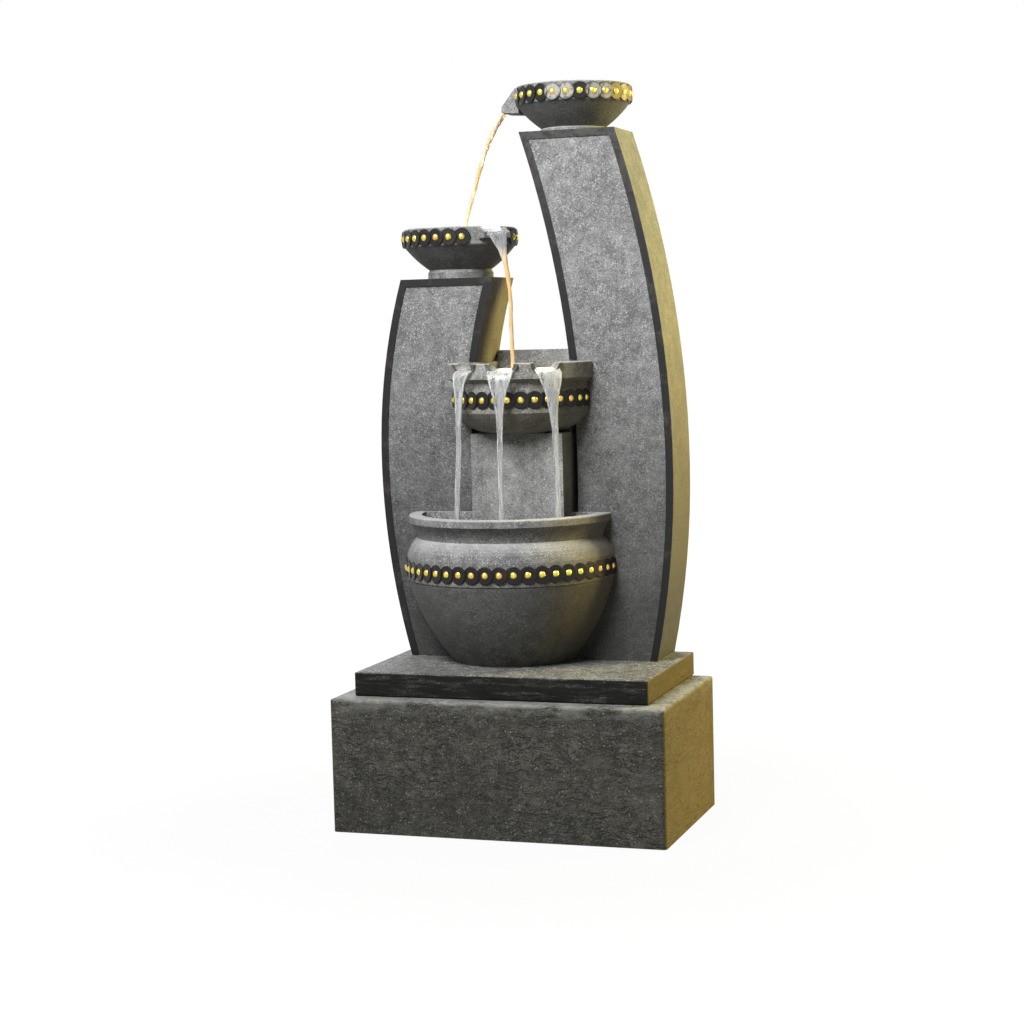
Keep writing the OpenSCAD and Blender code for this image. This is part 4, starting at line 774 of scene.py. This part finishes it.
@dataclass
class Frame:
    """The pieces that keep their solids, each with its finish."""

    finishes: Finishes
    stone: tuple[str, ...] = ("tall_column_shell", "tall_column_back")
    shaded_short_stone: tuple[str, ...] = ("short_column_shell", "short_column_back")
    upper_bowls: tuple[str, ...] = ("top_bowl", "second_bowl")
    plinth: tuple[str, ...] = ("plinth_shell", "access_door")
    plastic: tuple[str, ...] = (
        "base_tray", "reservoir_tub", "drain_spigot", "drain_plug", "return_pipe", "drain_grate",
        "pump_body", "pump_strainer", "top_nozzle", "nozzle_nut", "lamp_bodies",
        "transformer_box", "latch_knob",
    )
    grey_plastic: tuple[str, ...] = ("pump_impeller", "flow_dial")
    rubber: tuple[str, ...] = (
        "pump_feet", "top_lamp_lead", "second_lamp_lead", "middle_lamp_leads", "pump_lead",
        "inlet_lead", "cable_grommet", "door_seal",
    )
    steel: tuple[str, ...] = (
        "panel_screws", "impeller_shaft", "hose_clamps", "second_bowl_bolt", "second_bowl_nut",
        "door_hinge_leaves", "fixed_hinge_leaves", "hinge_pins", "door_screws", "latch_cam",
    )
    gold: tuple[str, ...] = (
        "top_bowl_studs", "second_bowl_studs", "middle_bowl_studs", "bottom_bowl_studs",
    )

    def build(self) -> None:
        """Dresses each solid that stays."""
        looks = self.finishes
        plan = (
            (self.stone, looks.stone), (self.shaded_short_stone, looks.shaded_short_stone),
            (self.plinth, looks.plinth), (self.upper_bowls, looks.upper_bowls),
            (("middle_bowl",), looks.middle_bowl), (("bottom_bowl",), looks.bottom_bowl),
            (("centre_pilaster",), looks.inner), (("back_web",), looks.lit_web_stone),
            (("step_slab",), looks.slab), (("column_borders",), looks.paint),
            (self.plastic, looks.plastic), (self.grey_plastic, looks.grey_plastic),
            (self.rubber, looks.rubber), (self.steel, looks.steel), (self.gold, looks.gold),
            (("riser_hose",), looks.hose), (("lamp_lenses",), looks.lens),
        )
        for names, material in plan:
            for name in names:
                dress(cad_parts[name], material)
                LOG.info("dressed %s", name)


@dataclass
class WornCasting:
    """A casting whose long outer edges are worn round, in place of its sharp solid."""

    node: str
    material: Material
    wear: float
    shortest: float = 12.0
    sharpest: float = 50.0
    flat: float = 0.5
    weld: float = 1e-5
    segments: int = 3

    def worn_edges(self, bm: bmesh.types.BMesh) -> list[bmesh.types.BMEdge]:
        """Finds the long, sharp, outward edges of the casting.

        Args:
            bm: The casting's mesh, with its points merged.

        Returns:
            The edges that wear.
        """
        return [
            edge for edge in bm.edges
            if len(edge.link_faces) == 2 and edge.is_convex
            and edge.calc_length() > self.shortest * MM
            and math.degrees(edge.calc_face_angle(0.0)) > self.sharpest
        ]

    def build(self) -> bpy.types.Object:
        """Builds the worn casting, which replaces its plain solid.

        Returns:
            The new piece.
        """
        bm = bmesh.new()
        bm.from_mesh(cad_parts[self.node].data)
        bmesh.ops.remove_doubles(bm, verts=bm.verts, dist=self.weld)
        bmesh.ops.dissolve_limit(
            bm, angle_limit=math.radians(self.flat), verts=bm.verts, edges=bm.edges,
            delimit={"NORMAL"},
        )
        bmesh.ops.bevel(
            bm, geom=self.worn_edges(bm), offset=self.wear * MM, affect="EDGES",
            segments=self.segments, profile=0.5, material=-1, clamp_overlap=True,
        )
        bmesh.ops.triangulate(bm, faces=[f for f in bm.faces if len(f.verts) > 4])
        worn = piece_from(bm, self.node + "_worn", smooth=False)
        dress(worn, self.material)
        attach(worn, ROOT)
        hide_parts(self.node)
        LOG.info("built %s", worn.name)
        return worn


@dataclass
class DiscBand:
    """A band of lapping discs round a bowl, each tilted so that it lies over its neighbour."""

    node: str
    centre: Triple
    radius: float
    angles: list[float]
    finishes: Finishes
    disc_radius: float = 14.5
    disc_thick: float = 2.2
    edge_round: float = 1.1
    tilt: float = 5.0
    segments: int = 28

    def disc(self, bm: bmesh.types.BMesh, place: Matrix) -> None:
        """Adds one disc with a rounded edge.

        Args:
            bm: Mesh that takes it.
            place: Where it goes, from its own frame with its face along +Z.
        """
        made = bmesh.ops.create_circle(
            bm, cap_ends=True, segments=self.segments, radius=self.disc_radius * MM
        )
        base = made["verts"][0].link_faces[0]
        lifted = bmesh.ops.extrude_face_region(bm, geom=[base])
        top = [v for v in lifted["geom"] if isinstance(v, bmesh.types.BMVert)]
        bmesh.ops.translate(bm, verts=top, vec=(0, 0, self.disc_thick * MM))
        face = next(f for f in lifted["geom"] if isinstance(f, bmesh.types.BMFace))
        bevelled = bmesh.ops.bevel(
            bm, geom=list(face.edges), offset=self.edge_round * MM, affect="EDGES", segments=2,
            profile=0.5, material=-1,
        )
        verts = set(made["verts"]) | {v for f in bevelled["faces"] for v in f.verts}
        verts = [v for v in verts if v.is_valid]
        linked = {v for seed in verts for f in seed.link_faces for v in f.verts}
        bmesh.ops.transform(bm, matrix=place, verts=list(linked))

    def build(self) -> bpy.types.Object:
        """Builds the band, which replaces its plain solid.

        Returns:
            The new piece.
        """
        bm = bmesh.new()
        centre = Matrix.Translation(mm(*self.centre))
        for angle in self.angles:
            turn = Matrix.Rotation(math.radians(angle), 4, "Z")
            out = Matrix.Translation((self.radius * MM, 0, 0))
            face_out = Matrix.Rotation(math.radians(90), 4, "Y")
            lean = Matrix.Rotation(math.radians(self.tilt), 4, "X")
            self.disc(bm, centre @ turn @ out @ face_out @ lean)
        band = piece_from(bm, self.node + "_detail", smooth=False)
        dress(band, self.finishes.scale_paint)
        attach(band, ROOT)
        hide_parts(self.node)
        LOG.info("built %s", band.name)
        return band


def full_turn(count: int, gap_angle: float, skip: float) -> list[float]:
    """Gives the discs' angles round a whole bowl, leaving out those at its lip.

    Args:
        count: Places in a whole turn.
        gap_angle: Direction of the lip in degrees.
        skip: Half of the angle left free at the lip.

    Returns:
        The angles in degrees.
    """
    steps = [gap_angle + 360.0 * (i + 0.5) / count for i in range(count)]
    return [a for a in steps if abs((a - gap_angle + 540.0) % 360.0 - 180.0) > skip]


def half_turn(count: int) -> list[float]:
    """Gives the angles of a count of discs round the front half of a bowl, in degrees."""
    return [-180.0 + 180.0 * (i + 0.5) / count for i in range(count)]


@dataclass(frozen=True)
class Station:
    """One cross-section of a stream: its middle, half width, half thickness and turn."""

    point: Triple
    half_width: float
    half_thick: float
    turn: float


@dataclass
class Stream:
    """Falling water: a closed skin lofted through cross-sections that narrow and twist."""

    name: str
    stations: list[Station]
    finish: Material
    seed: int = 1
    segments: int = 14
    steps: int = 9
    wobble: float = 1.1
    grain: Triple = (260.0, 260.0, 38.0)
    steady: float = 3.0
    least_width: float = 0.8
    least_thick: float = 0.6

    def section(self, share: float) -> Station:
        """Gives the cross-section at a share of the way, on a smooth curve.

        Args:
            share: 0 at the lip and 1 at the foot.

        Returns:
            The blended cross-section.
        """
        last = len(self.stations) - 1
        at = min(share * last, last - 1e-6)
        i = int(at)
        t = at - i

        def value(pick: Callable[[Station], float]) -> float:
            """Blends one figure of the four nearest stations.

            Args:
                pick: Gives the figure of a station.

            Returns:
                The figure on a smooth curve through all stations.
            """
            p = [pick(self.stations[min(max(k, 0), last)]) for k in (i - 1, i, i + 1, i + 2)]
            return 0.5 * (
                2 * p[1] + (p[2] - p[0]) * t + (2 * p[0] - 5 * p[1] + 4 * p[2] - p[3]) * t * t
                + (3 * p[1] - p[0] - 3 * p[2] + p[3]) * t ** 3
            )

        point = tuple(value(lambda s, k=k: s.point[k]) for k in range(3))
        return Station(
            point,
            max(self.least_width, value(lambda s: s.half_width)),
            max(self.least_thick, value(lambda s: s.half_thick)),
            value(lambda s: s.turn),
        )

    def build(self) -> bpy.types.Object:
        """Builds the stream.

        Returns:
            The new piece.
        """
        bm = bmesh.new()
        count = (len(self.stations) - 1) * self.steps
        loops: list[list[bmesh.types.BMEdge]] = []
        for i in range(count + 1):
            here = self.section(i / count)
            ahead = self.section(min(1.0, (i + 0.5) / count))
            behind = self.section(max(0.0, (i - 0.5) / count))
            way = (Vector(ahead.point) - Vector(behind.point)).normalized()
            turn = math.radians(here.turn)
            side = Vector((math.cos(turn), math.sin(turn), 0))
            depth = way.cross(side).normalized()
            side = depth.cross(way).normalized()
            spot = Matrix.Translation(mm(*here.point))
            basis = Matrix((
                (side.x * here.half_width, depth.x * here.half_thick, way.x, 0),
                (side.y * here.half_width, depth.y * here.half_thick, way.y, 0),
                (side.z * here.half_width, depth.z * here.half_thick, way.z, 0),
                (0, 0, 0, 1),
            ))
            basis = Matrix.Diagonal((MM, MM, MM, 1)) @ basis
            ring = bmesh.ops.create_circle(
                bm, cap_ends=False, segments=self.segments, radius=1.0, matrix=spot @ basis
            )["verts"]
            for v in ring:
                away = (v.co - mm(*here.point)) / MM
                x, y, z = (at * grain for at, grain in zip(v.co, self.grain))
                shake = noise.noise(Vector((x, y, z + self.seed)))
                share = min(1.0, away.length / self.steady)
                v.co += away.normalized() * shake * self.wobble * MM * share
            loops.append(list({e for v in ring for e in v.link_edges}))
        for first, second in zip(loops, loops[1:]):
            bmesh.ops.bridge_loops(bm, edges=first + second)
        for end in (loops[0], loops[-1]):
            bmesh.ops.holes_fill(bm, edges=end, sides=0)
        stream = piece_from(bm, self.name)
        dress(stream, self.finish)
        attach(stream, ROOT)
        LOG.info("built %s", self.name)
        return stream

    def strands(self, finish: Material, thick: float = 1.7) -> list["Stream"]:
        """Gives the two bright strands at the edges of the sheet, down to where it closes up.

        Args:
            finish: The strands' finish.
            thick: Half thickness of each strand.

        Returns:
            One stream for each edge.
        """
        closing = (1.0, 1.0, 1.0, 1.0, 0.4)
        found = []
        for side, word in ((-1, "left"), (1, "right")):
            path = []
            for share, station in zip(closing, self.stations):
                reach = side * share * max(0.0, station.half_width - thick)
                turn = math.radians(station.turn)
                x, y, z = station.point
                edge = (x + reach * math.cos(turn), y + reach * math.sin(turn), z)
                path.append(Station(edge, thick, thick, station.turn))
            found.append(Stream(
                f"{self.name}_{word}_strand", path, finish, self.seed + side,
                segments=10, steps=6, wobble=0.7,
            ))
        return found


@dataclass
class Pool:
    """Still water in a bowl, with rings where a stream lands."""

    name: str
    centre: tuple[float, float]
    radius: float
    level: float
    finishes: Finishes
    rings_at: list[tuple[float, float]] = field(default_factory=list)
    back_y: float | None = None
    depth: float = 5.0
    cells: int = 70
    swell: float = 0.5
    swell_span: float = 22.0
    ring_height: float = 1.6
    ring_span: float = 2.6
    ring_fade: float = 20.0
    splash_height: float = 3.2
    splash_span: float = 9.0

    def height(self, x: float, y: float) -> float:
        """Gives the surface's height over the level.

        Args:
            x: Place across, in millimetres.
            y: Place from front to back, in millimetres.

        Returns:
            The height in millimetres.
        """
        spot = Vector((x / self.swell_span, y / self.swell_span, self.level))
        rise = self.swell * noise.noise(spot)
        for cx, cy in self.rings_at:
            away = math.hypot(x - cx, y - cy)
            fade = math.exp(-away / self.ring_fade)
            rise += self.ring_height * math.cos(away / self.ring_span) * fade
            rise += self.splash_height * math.exp(-(away / self.splash_span) ** 2)
        return rise

    def build(self) -> bpy.types.Object:
        """Builds the pool.

        Returns:
            The new piece.
        """
        bm = bmesh.new()
        size = self.radius * MM
        bmesh.ops.create_grid(bm, x_segments=self.cells, y_segments=self.cells, size=size)
        for v in bm.verts:
            x, y = v.co.x / size, v.co.y / size
            v.co.x = x * math.sqrt(max(0.0, 1 - y * y / 2)) * size
            v.co.y = y * math.sqrt(max(0.0, 1 - x * x / 2)) * size
        bmesh.ops.translate(bm, verts=bm.verts, vec=mm(*self.centre, self.level))
        if self.back_y is not None:
            bmesh.ops.bisect_plane(
                bm, geom=bm.verts[:] + bm.edges[:] + bm.faces[:], clear_outer=True,
                plane_co=mm(0, self.back_y, 0), plane_no=(0, 1, 0),
            )
        raised = bmesh.ops.extrude_face_region(bm, geom=bm.faces[:])
        under = {v for v in raised["geom"] if isinstance(v, bmesh.types.BMVert)}
        surface = [v for v in bm.verts if v not in under]
        bmesh.ops.translate(bm, verts=list(under), vec=mm(0, 0, -self.depth))
        for v in surface:
            v.co.z += self.height(v.co.x / MM, v.co.y / MM) * MM
        pool = piece_from(bm, self.name)
        dress(pool, self.finishes.still)
        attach(pool, ROOT)
        LOG.info("built %s", self.name)
        return pool


@dataclass(frozen=True)
class Lamp:
    """A square area lamp: its power, colour, place and aim in metres, and the side's length."""

    name: str
    energy: float
    colour: Triple
    place: Triple
    aim: Triple
    size: float

    def build(self) -> None:
        """Adds the lamp to the scene."""
        data = bpy.data.lights.new(self.name, "AREA")
        data.energy = self.energy
        data.color = self.colour
        data.size = self.size
        lamp = bpy.data.objects.new(self.name, data)
        turn = (Vector(self.aim) - Vector(self.place)).to_track_quat("-Z", "Y")
        lamp.matrix_world = Matrix.Translation(self.place) @ turn.to_matrix().to_4x4()
        bpy.context.scene.collection.objects.link(lamp)


@dataclass
class Studio:
    """Camera, lamps, world and floor."""

    place: Triple = (1118.4, -3338.5, 821.6)
    yaw: float = 18.748
    pitch: float = -4.966
    roll: float = -1.462
    focal: float = 2129.47
    image: float = 1024.0
    sensor: float = 36.0
    farthest: float = 60.0
    world_light: float = 0.035
    floor_size: float = 14.0
    floor_drop: float = 0.5
    floor_tone: float = 0.2
    floor_glow: float = 1.06
    shadow_share: float = 0.90
    shadow_core: float = 0.5
    shadow_reach: float = 1.5
    lamps: tuple[Lamp, ...] = (
        Lamp("key", 68.0, (0.97, 0.98, 1.0), (-0.28, -1.38, 2.1), (0.05, 0.0, 0.75), 0.9),
        Lamp("warm_side", 66.0, (1.0, 0.88, 0.36), (1.75, 0.95, 1.6), (0.1, 0.1, 0.8), 0.5),
        Lamp("warm_low", 9.0, (1.0, 0.64, 0.03), (1.45, 0.8, 0.3), (0.2, 0.05, 0.2), 0.4),
        Lamp("cool_back", 48.0, (0.95, 0.97, 1.0), (-1.0, 2.4, 1.7), (0.0, 0.1, 0.6), 1.2),
    )

    def camera(self) -> None:
        """Sets the camera at the photograph's view."""
        yaw, pitch, roll = (math.radians(a) for a in (self.yaw, self.pitch, self.roll))
        ahead = Vector((-math.sin(yaw), math.cos(yaw), 0)) * math.cos(pitch)
        ahead.z = math.sin(pitch)
        right = Vector((math.cos(yaw), math.sin(yaw), 0))
        up = right.cross(ahead)
        side = right * math.cos(roll) + up * math.sin(roll)
        top = up * math.cos(roll) - right * math.sin(roll)
        data = bpy.data.cameras.new("camera")
        data.sensor_width = self.sensor
        data.sensor_fit = "HORIZONTAL"
        data.lens = self.focal / self.image * self.sensor
        data.clip_end = self.farthest
        camera = bpy.data.objects.new("camera", data)
        rotation = Matrix((side, top, -ahead)).transposed().to_4x4()
        camera.matrix_world = Matrix.Translation(mm(*self.place)) @ rotation
        bpy.context.scene.collection.objects.link(camera)
        bpy.context.scene.camera = camera

    def background_share(self, tree: bpy.types.NodeTree) -> Socket:
        """Finds what the camera sees, straight or through gloss and glass.

        Args:
            tree: The nodes that take the finding.

        Returns:
            A socket that is 1 for what the camera sees.
        """
        path = tree.nodes.new("ShaderNodeLightPath")
        most = path.outputs["Is Camera Ray"]
        for name in ("Is Glossy Ray", "Is Transmission Ray"):
            node = tree.nodes.new("ShaderNodeMath")
            node.operation = "MAXIMUM"
            tree.links.new(most, node.inputs[0])
            tree.links.new(path.outputs[name], node.inputs[1])
            most = node.outputs[0]
        return most

    def world(self) -> None:
        """Builds a white world that the camera sees at full white."""
        world = bpy.data.worlds.new("studio")
        bpy.context.scene.world = world
        world.use_nodes = True
        tree = world.node_tree
        back = tree.nodes["Background"]
        back.inputs["Color"].default_value = (1.0, 1.0, 1.0, 1.0)
        seen = self.background_share(tree)
        level = tree.nodes.new("ShaderNodeMapRange")
        level.inputs["To Min"].default_value = self.world_light
        level.inputs["To Max"].default_value = 1.0
        tree.links.new(seen, level.inputs["Value"])
        tree.links.new(level.outputs["Result"], back.inputs["Strength"])

    def floor(self) -> None:
        """Builds the pale floor, which keeps a soft shadow."""
        bm = bmesh.new()
        bmesh.ops.create_grid(bm, x_segments=8, y_segments=8, size=self.floor_size)
        bmesh.ops.translate(bm, verts=bm.verts, vec=mm(0, 0, -self.floor_drop))
        floor = piece_from(bm, "floor")
        material = bpy.data.materials.new("floor")
        material.use_nodes = True
        tree = material.node_tree
        tree.nodes.clear()
        out = tree.nodes.new("ShaderNodeOutputMaterial")
        matt = tree.nodes.new("ShaderNodeBsdfDiffuse")
        matt.inputs["Color"].default_value = (*(self.floor_tone,) * 3, 1.0)
        plain = tree.nodes.new("ShaderNodeEmission")
        plain.inputs["Strength"].default_value = self.floor_glow
        mix = tree.nodes.new("ShaderNodeMixShader")
        coords = tree.nodes.new("ShaderNodeTexCoord")
        away = tree.nodes.new("ShaderNodeVectorMath")
        away.operation = "LENGTH"
        tree.links.new(coords.outputs["Object"], away.inputs[0])
        plainer = tree.nodes.new("ShaderNodeMapRange")
        plainer.inputs["From Min"].default_value = self.shadow_core
        plainer.inputs["From Max"].default_value = self.shadow_reach
        plainer.inputs["To Min"].default_value = self.shadow_share
        tree.links.new(away.outputs["Value"], plainer.inputs["Value"])
        level = tree.nodes.new("ShaderNodeMath")
        level.operation = "MULTIPLY"
        tree.links.new(self.background_share(tree), level.inputs[0])
        tree.links.new(plainer.outputs["Result"], level.inputs[1])
        tree.links.new(level.outputs["Value"], mix.inputs["Fac"])
        tree.links.new(matt.outputs["BSDF"], mix.inputs[1])
        tree.links.new(plain.outputs["Emission"], mix.inputs[2])
        tree.links.new(mix.outputs["Shader"], out.inputs["Surface"])
        floor.data.materials.append(material)

    def build(self) -> None:
        """Builds the studio."""
        self.camera()
        self.world()
        self.floor()
        for lamp in self.lamps:
            lamp.build()
        bpy.context.scene.view_settings.view_transform = "Standard"
        LOG.info("built the studio")


def stations(rows: list[tuple[float, ...]]) -> list[Station]:
    """Makes stations from rows of numbers.

    Args:
        rows: X, Y, Z, half width and half thickness in millimetres, and turn in degrees.

    Returns:
        The stations in the same order.
    """
    return [Station(row[:3], *row[3:]) for row in rows]


def streams(finishes: Finishes) -> list[Stream]:
    """Gives the fountain's five streams.

    Args:
        finishes: The finishes that they take.

    Returns:
        The streams from top to bottom.
    """
    top = Stream("top_stream", stations([
        (-24, 110, 1205, 17, 2.0, 90), (-36, 110, 1195, 13, 2.2, 90),
        (-46, 110, 1182, 8, 3.0, 90), (-66, 110, 1154, 5.0, 3.6, 70),
        (-81, 110, 1125, 4.0, 3.8, 50), (-91, 110, 1097, 3.6, 3.6, 40),
        (-107, 110, 1047, 3.2, 3.2, 20), (-116, 110, 1020, 3.2, 3.0, 10),
        (-123, 110, 996, 3.4, 3.2, 0), (-126, 110, 980, 4.4, 4.4, 0),
    ]), finishes.warm_lit, seed=3)
    second = Stream("second_stream", stations([
        (-66, 66, 988, 21, 1.6, 55), (-53, 55, 985, 22, 1.8, 55),
        (-45, 50, 976, 19, 2.2, 55), (-39, 47, 960, 12, 3.0, 52),
        (-33, 45, 940, 5.5, 4.0, 45), (-27, 45, 908, 3.8, 3.8, 20),
        (-23, 44, 866, 3.4, 3.4, 0), (-22, 42, 816, 3.2, 3.2, -20),
        (-20, 40, 775, 3.4, 3.4, -30), (-20, 40, 744, 4.6, 4.6, -30),
    ]), finishes.half_warm_lit, seed=7)
    left = Stream("left_stream", stations([
        (-66, -42, 753, 19, 1.8, -31), (-76, -58, 748, 19, 2.0, -31),
        (-79, -63, 734, 15, 2.4, -31), (-80, -65, 706, 8.5, 3.4, -24),
        (-81, -66, 660, 4.6, 4.2, 0), (-83, -67, 600, 4.4, 4.0, 25),
        (-86, -68, 540, 4.2, 4.2, 50), (-87, -68, 492, 6.0, 6.0, 60),
    ]), finishes.falling, seed=11)
    middle = Stream("middle_stream", stations([
        (-5, -58, 753, 22, 1.8, 3), (-4, -76, 748, 22, 2.0, 3),
        (-3, -84, 733, 18, 2.4, 3), (-3, -86, 704, 9.5, 3.4, 10),
        (-3, -87, 655, 4.6, 4.2, 30), (-3, -87, 600, 4.4, 4.0, 55),
        (-3, -87, 540, 4.2, 4.2, 75), (-3, -87, 492, 6.0, 6.0, 90),
    ]), finishes.falling, seed=17)
    right = Stream("right_stream", stations([
        (62, -38, 753, 22, 1.8, 37), (71, -50, 748, 22, 2.0, 37),
        (76, -54, 733, 18, 2.4, 37), (78, -54, 704, 10.0, 3.4, 32),
        (80, -52, 655, 5.2, 4.2, 20), (80, -49, 600, 4.6, 4.2, 0),
        (80, -45, 540, 4.6, 4.4, -20), (79, -41, 492, 6.0, 6.0, -30),
    ]), finishes.falling, seed=23)
    return [top, second, left, middle, right]


def pools(finishes: Finishes) -> list[Pool]:
    """Gives the water in the four bowls.

    Args:
        finishes: The finishes that they take.

    Returns:
        The pools from top to bottom.
    """
    wall = 44.0
    return [
        Pool("top_pool", (74, 110), 87.1, 1207, finishes, [(74, 110)], ring_height=1.0),
        Pool("second_pool", (-133.5, 110), 87.1, 984, finishes, [(-126, 110)]),
        Pool("middle_pool", (-9, 53), 105.6, 749, finishes, [(-20, 40)], back_y=wall),
        Pool(
            "bottom_pool", (-33, 53), 151.6, 492, finishes,
            [(-87, -68), (-3, -87), (79, -41)], back_y=wall,
        ),
    ]


def bands(finishes: Finishes) -> list[DiscBand]:
    """Gives the four bands of lapping discs.

    Args:
        finishes: The finishes that they take.

    Returns:
        The bands from top to bottom.
    """
    count, free, radius = 27, 21.0, 95.7
    top, second = full_turn(count, 180.0, free), full_turn(count, -35.0, free)
    return [
        DiscBand("top_bowl_discs", TOP_BAND, radius, top, finishes),
        DiscBand("second_bowl_discs", (-133.49, 110, 974), radius, second, finishes),
        DiscBand("middle_bowl_discs", (-9, 53, 703), 114.2, half_turn(16), finishes),
        DiscBand("bottom_bowl_discs", (-33, 53, 423), 178.2, half_turn(24), finishes),
    ]


def main() -> None:
    """Builds every piece in order."""
    logging.basicConfig(level=logging.INFO, format="%(name)s: %(message)s")
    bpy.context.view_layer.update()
    finishes = Finishes()
    Studio().build()
    Frame(finishes).build()
    falls = streams(finishes)
    edges = falls[1].strands(finishes.half_warm_lit)
    edges += [strand for fall in falls[2:] for strand in fall.strands(finishes.strand)]
    castings = [
        WornCasting("plinth_shell", finishes.plinth, 5.0),
        WornCasting("step_slab", finishes.slab, 3.0),
    ]
    for part in castings + bands(finishes) + falls + edges + pools(finishes):
        part.build()


if __name__ == "__main__":
    main()
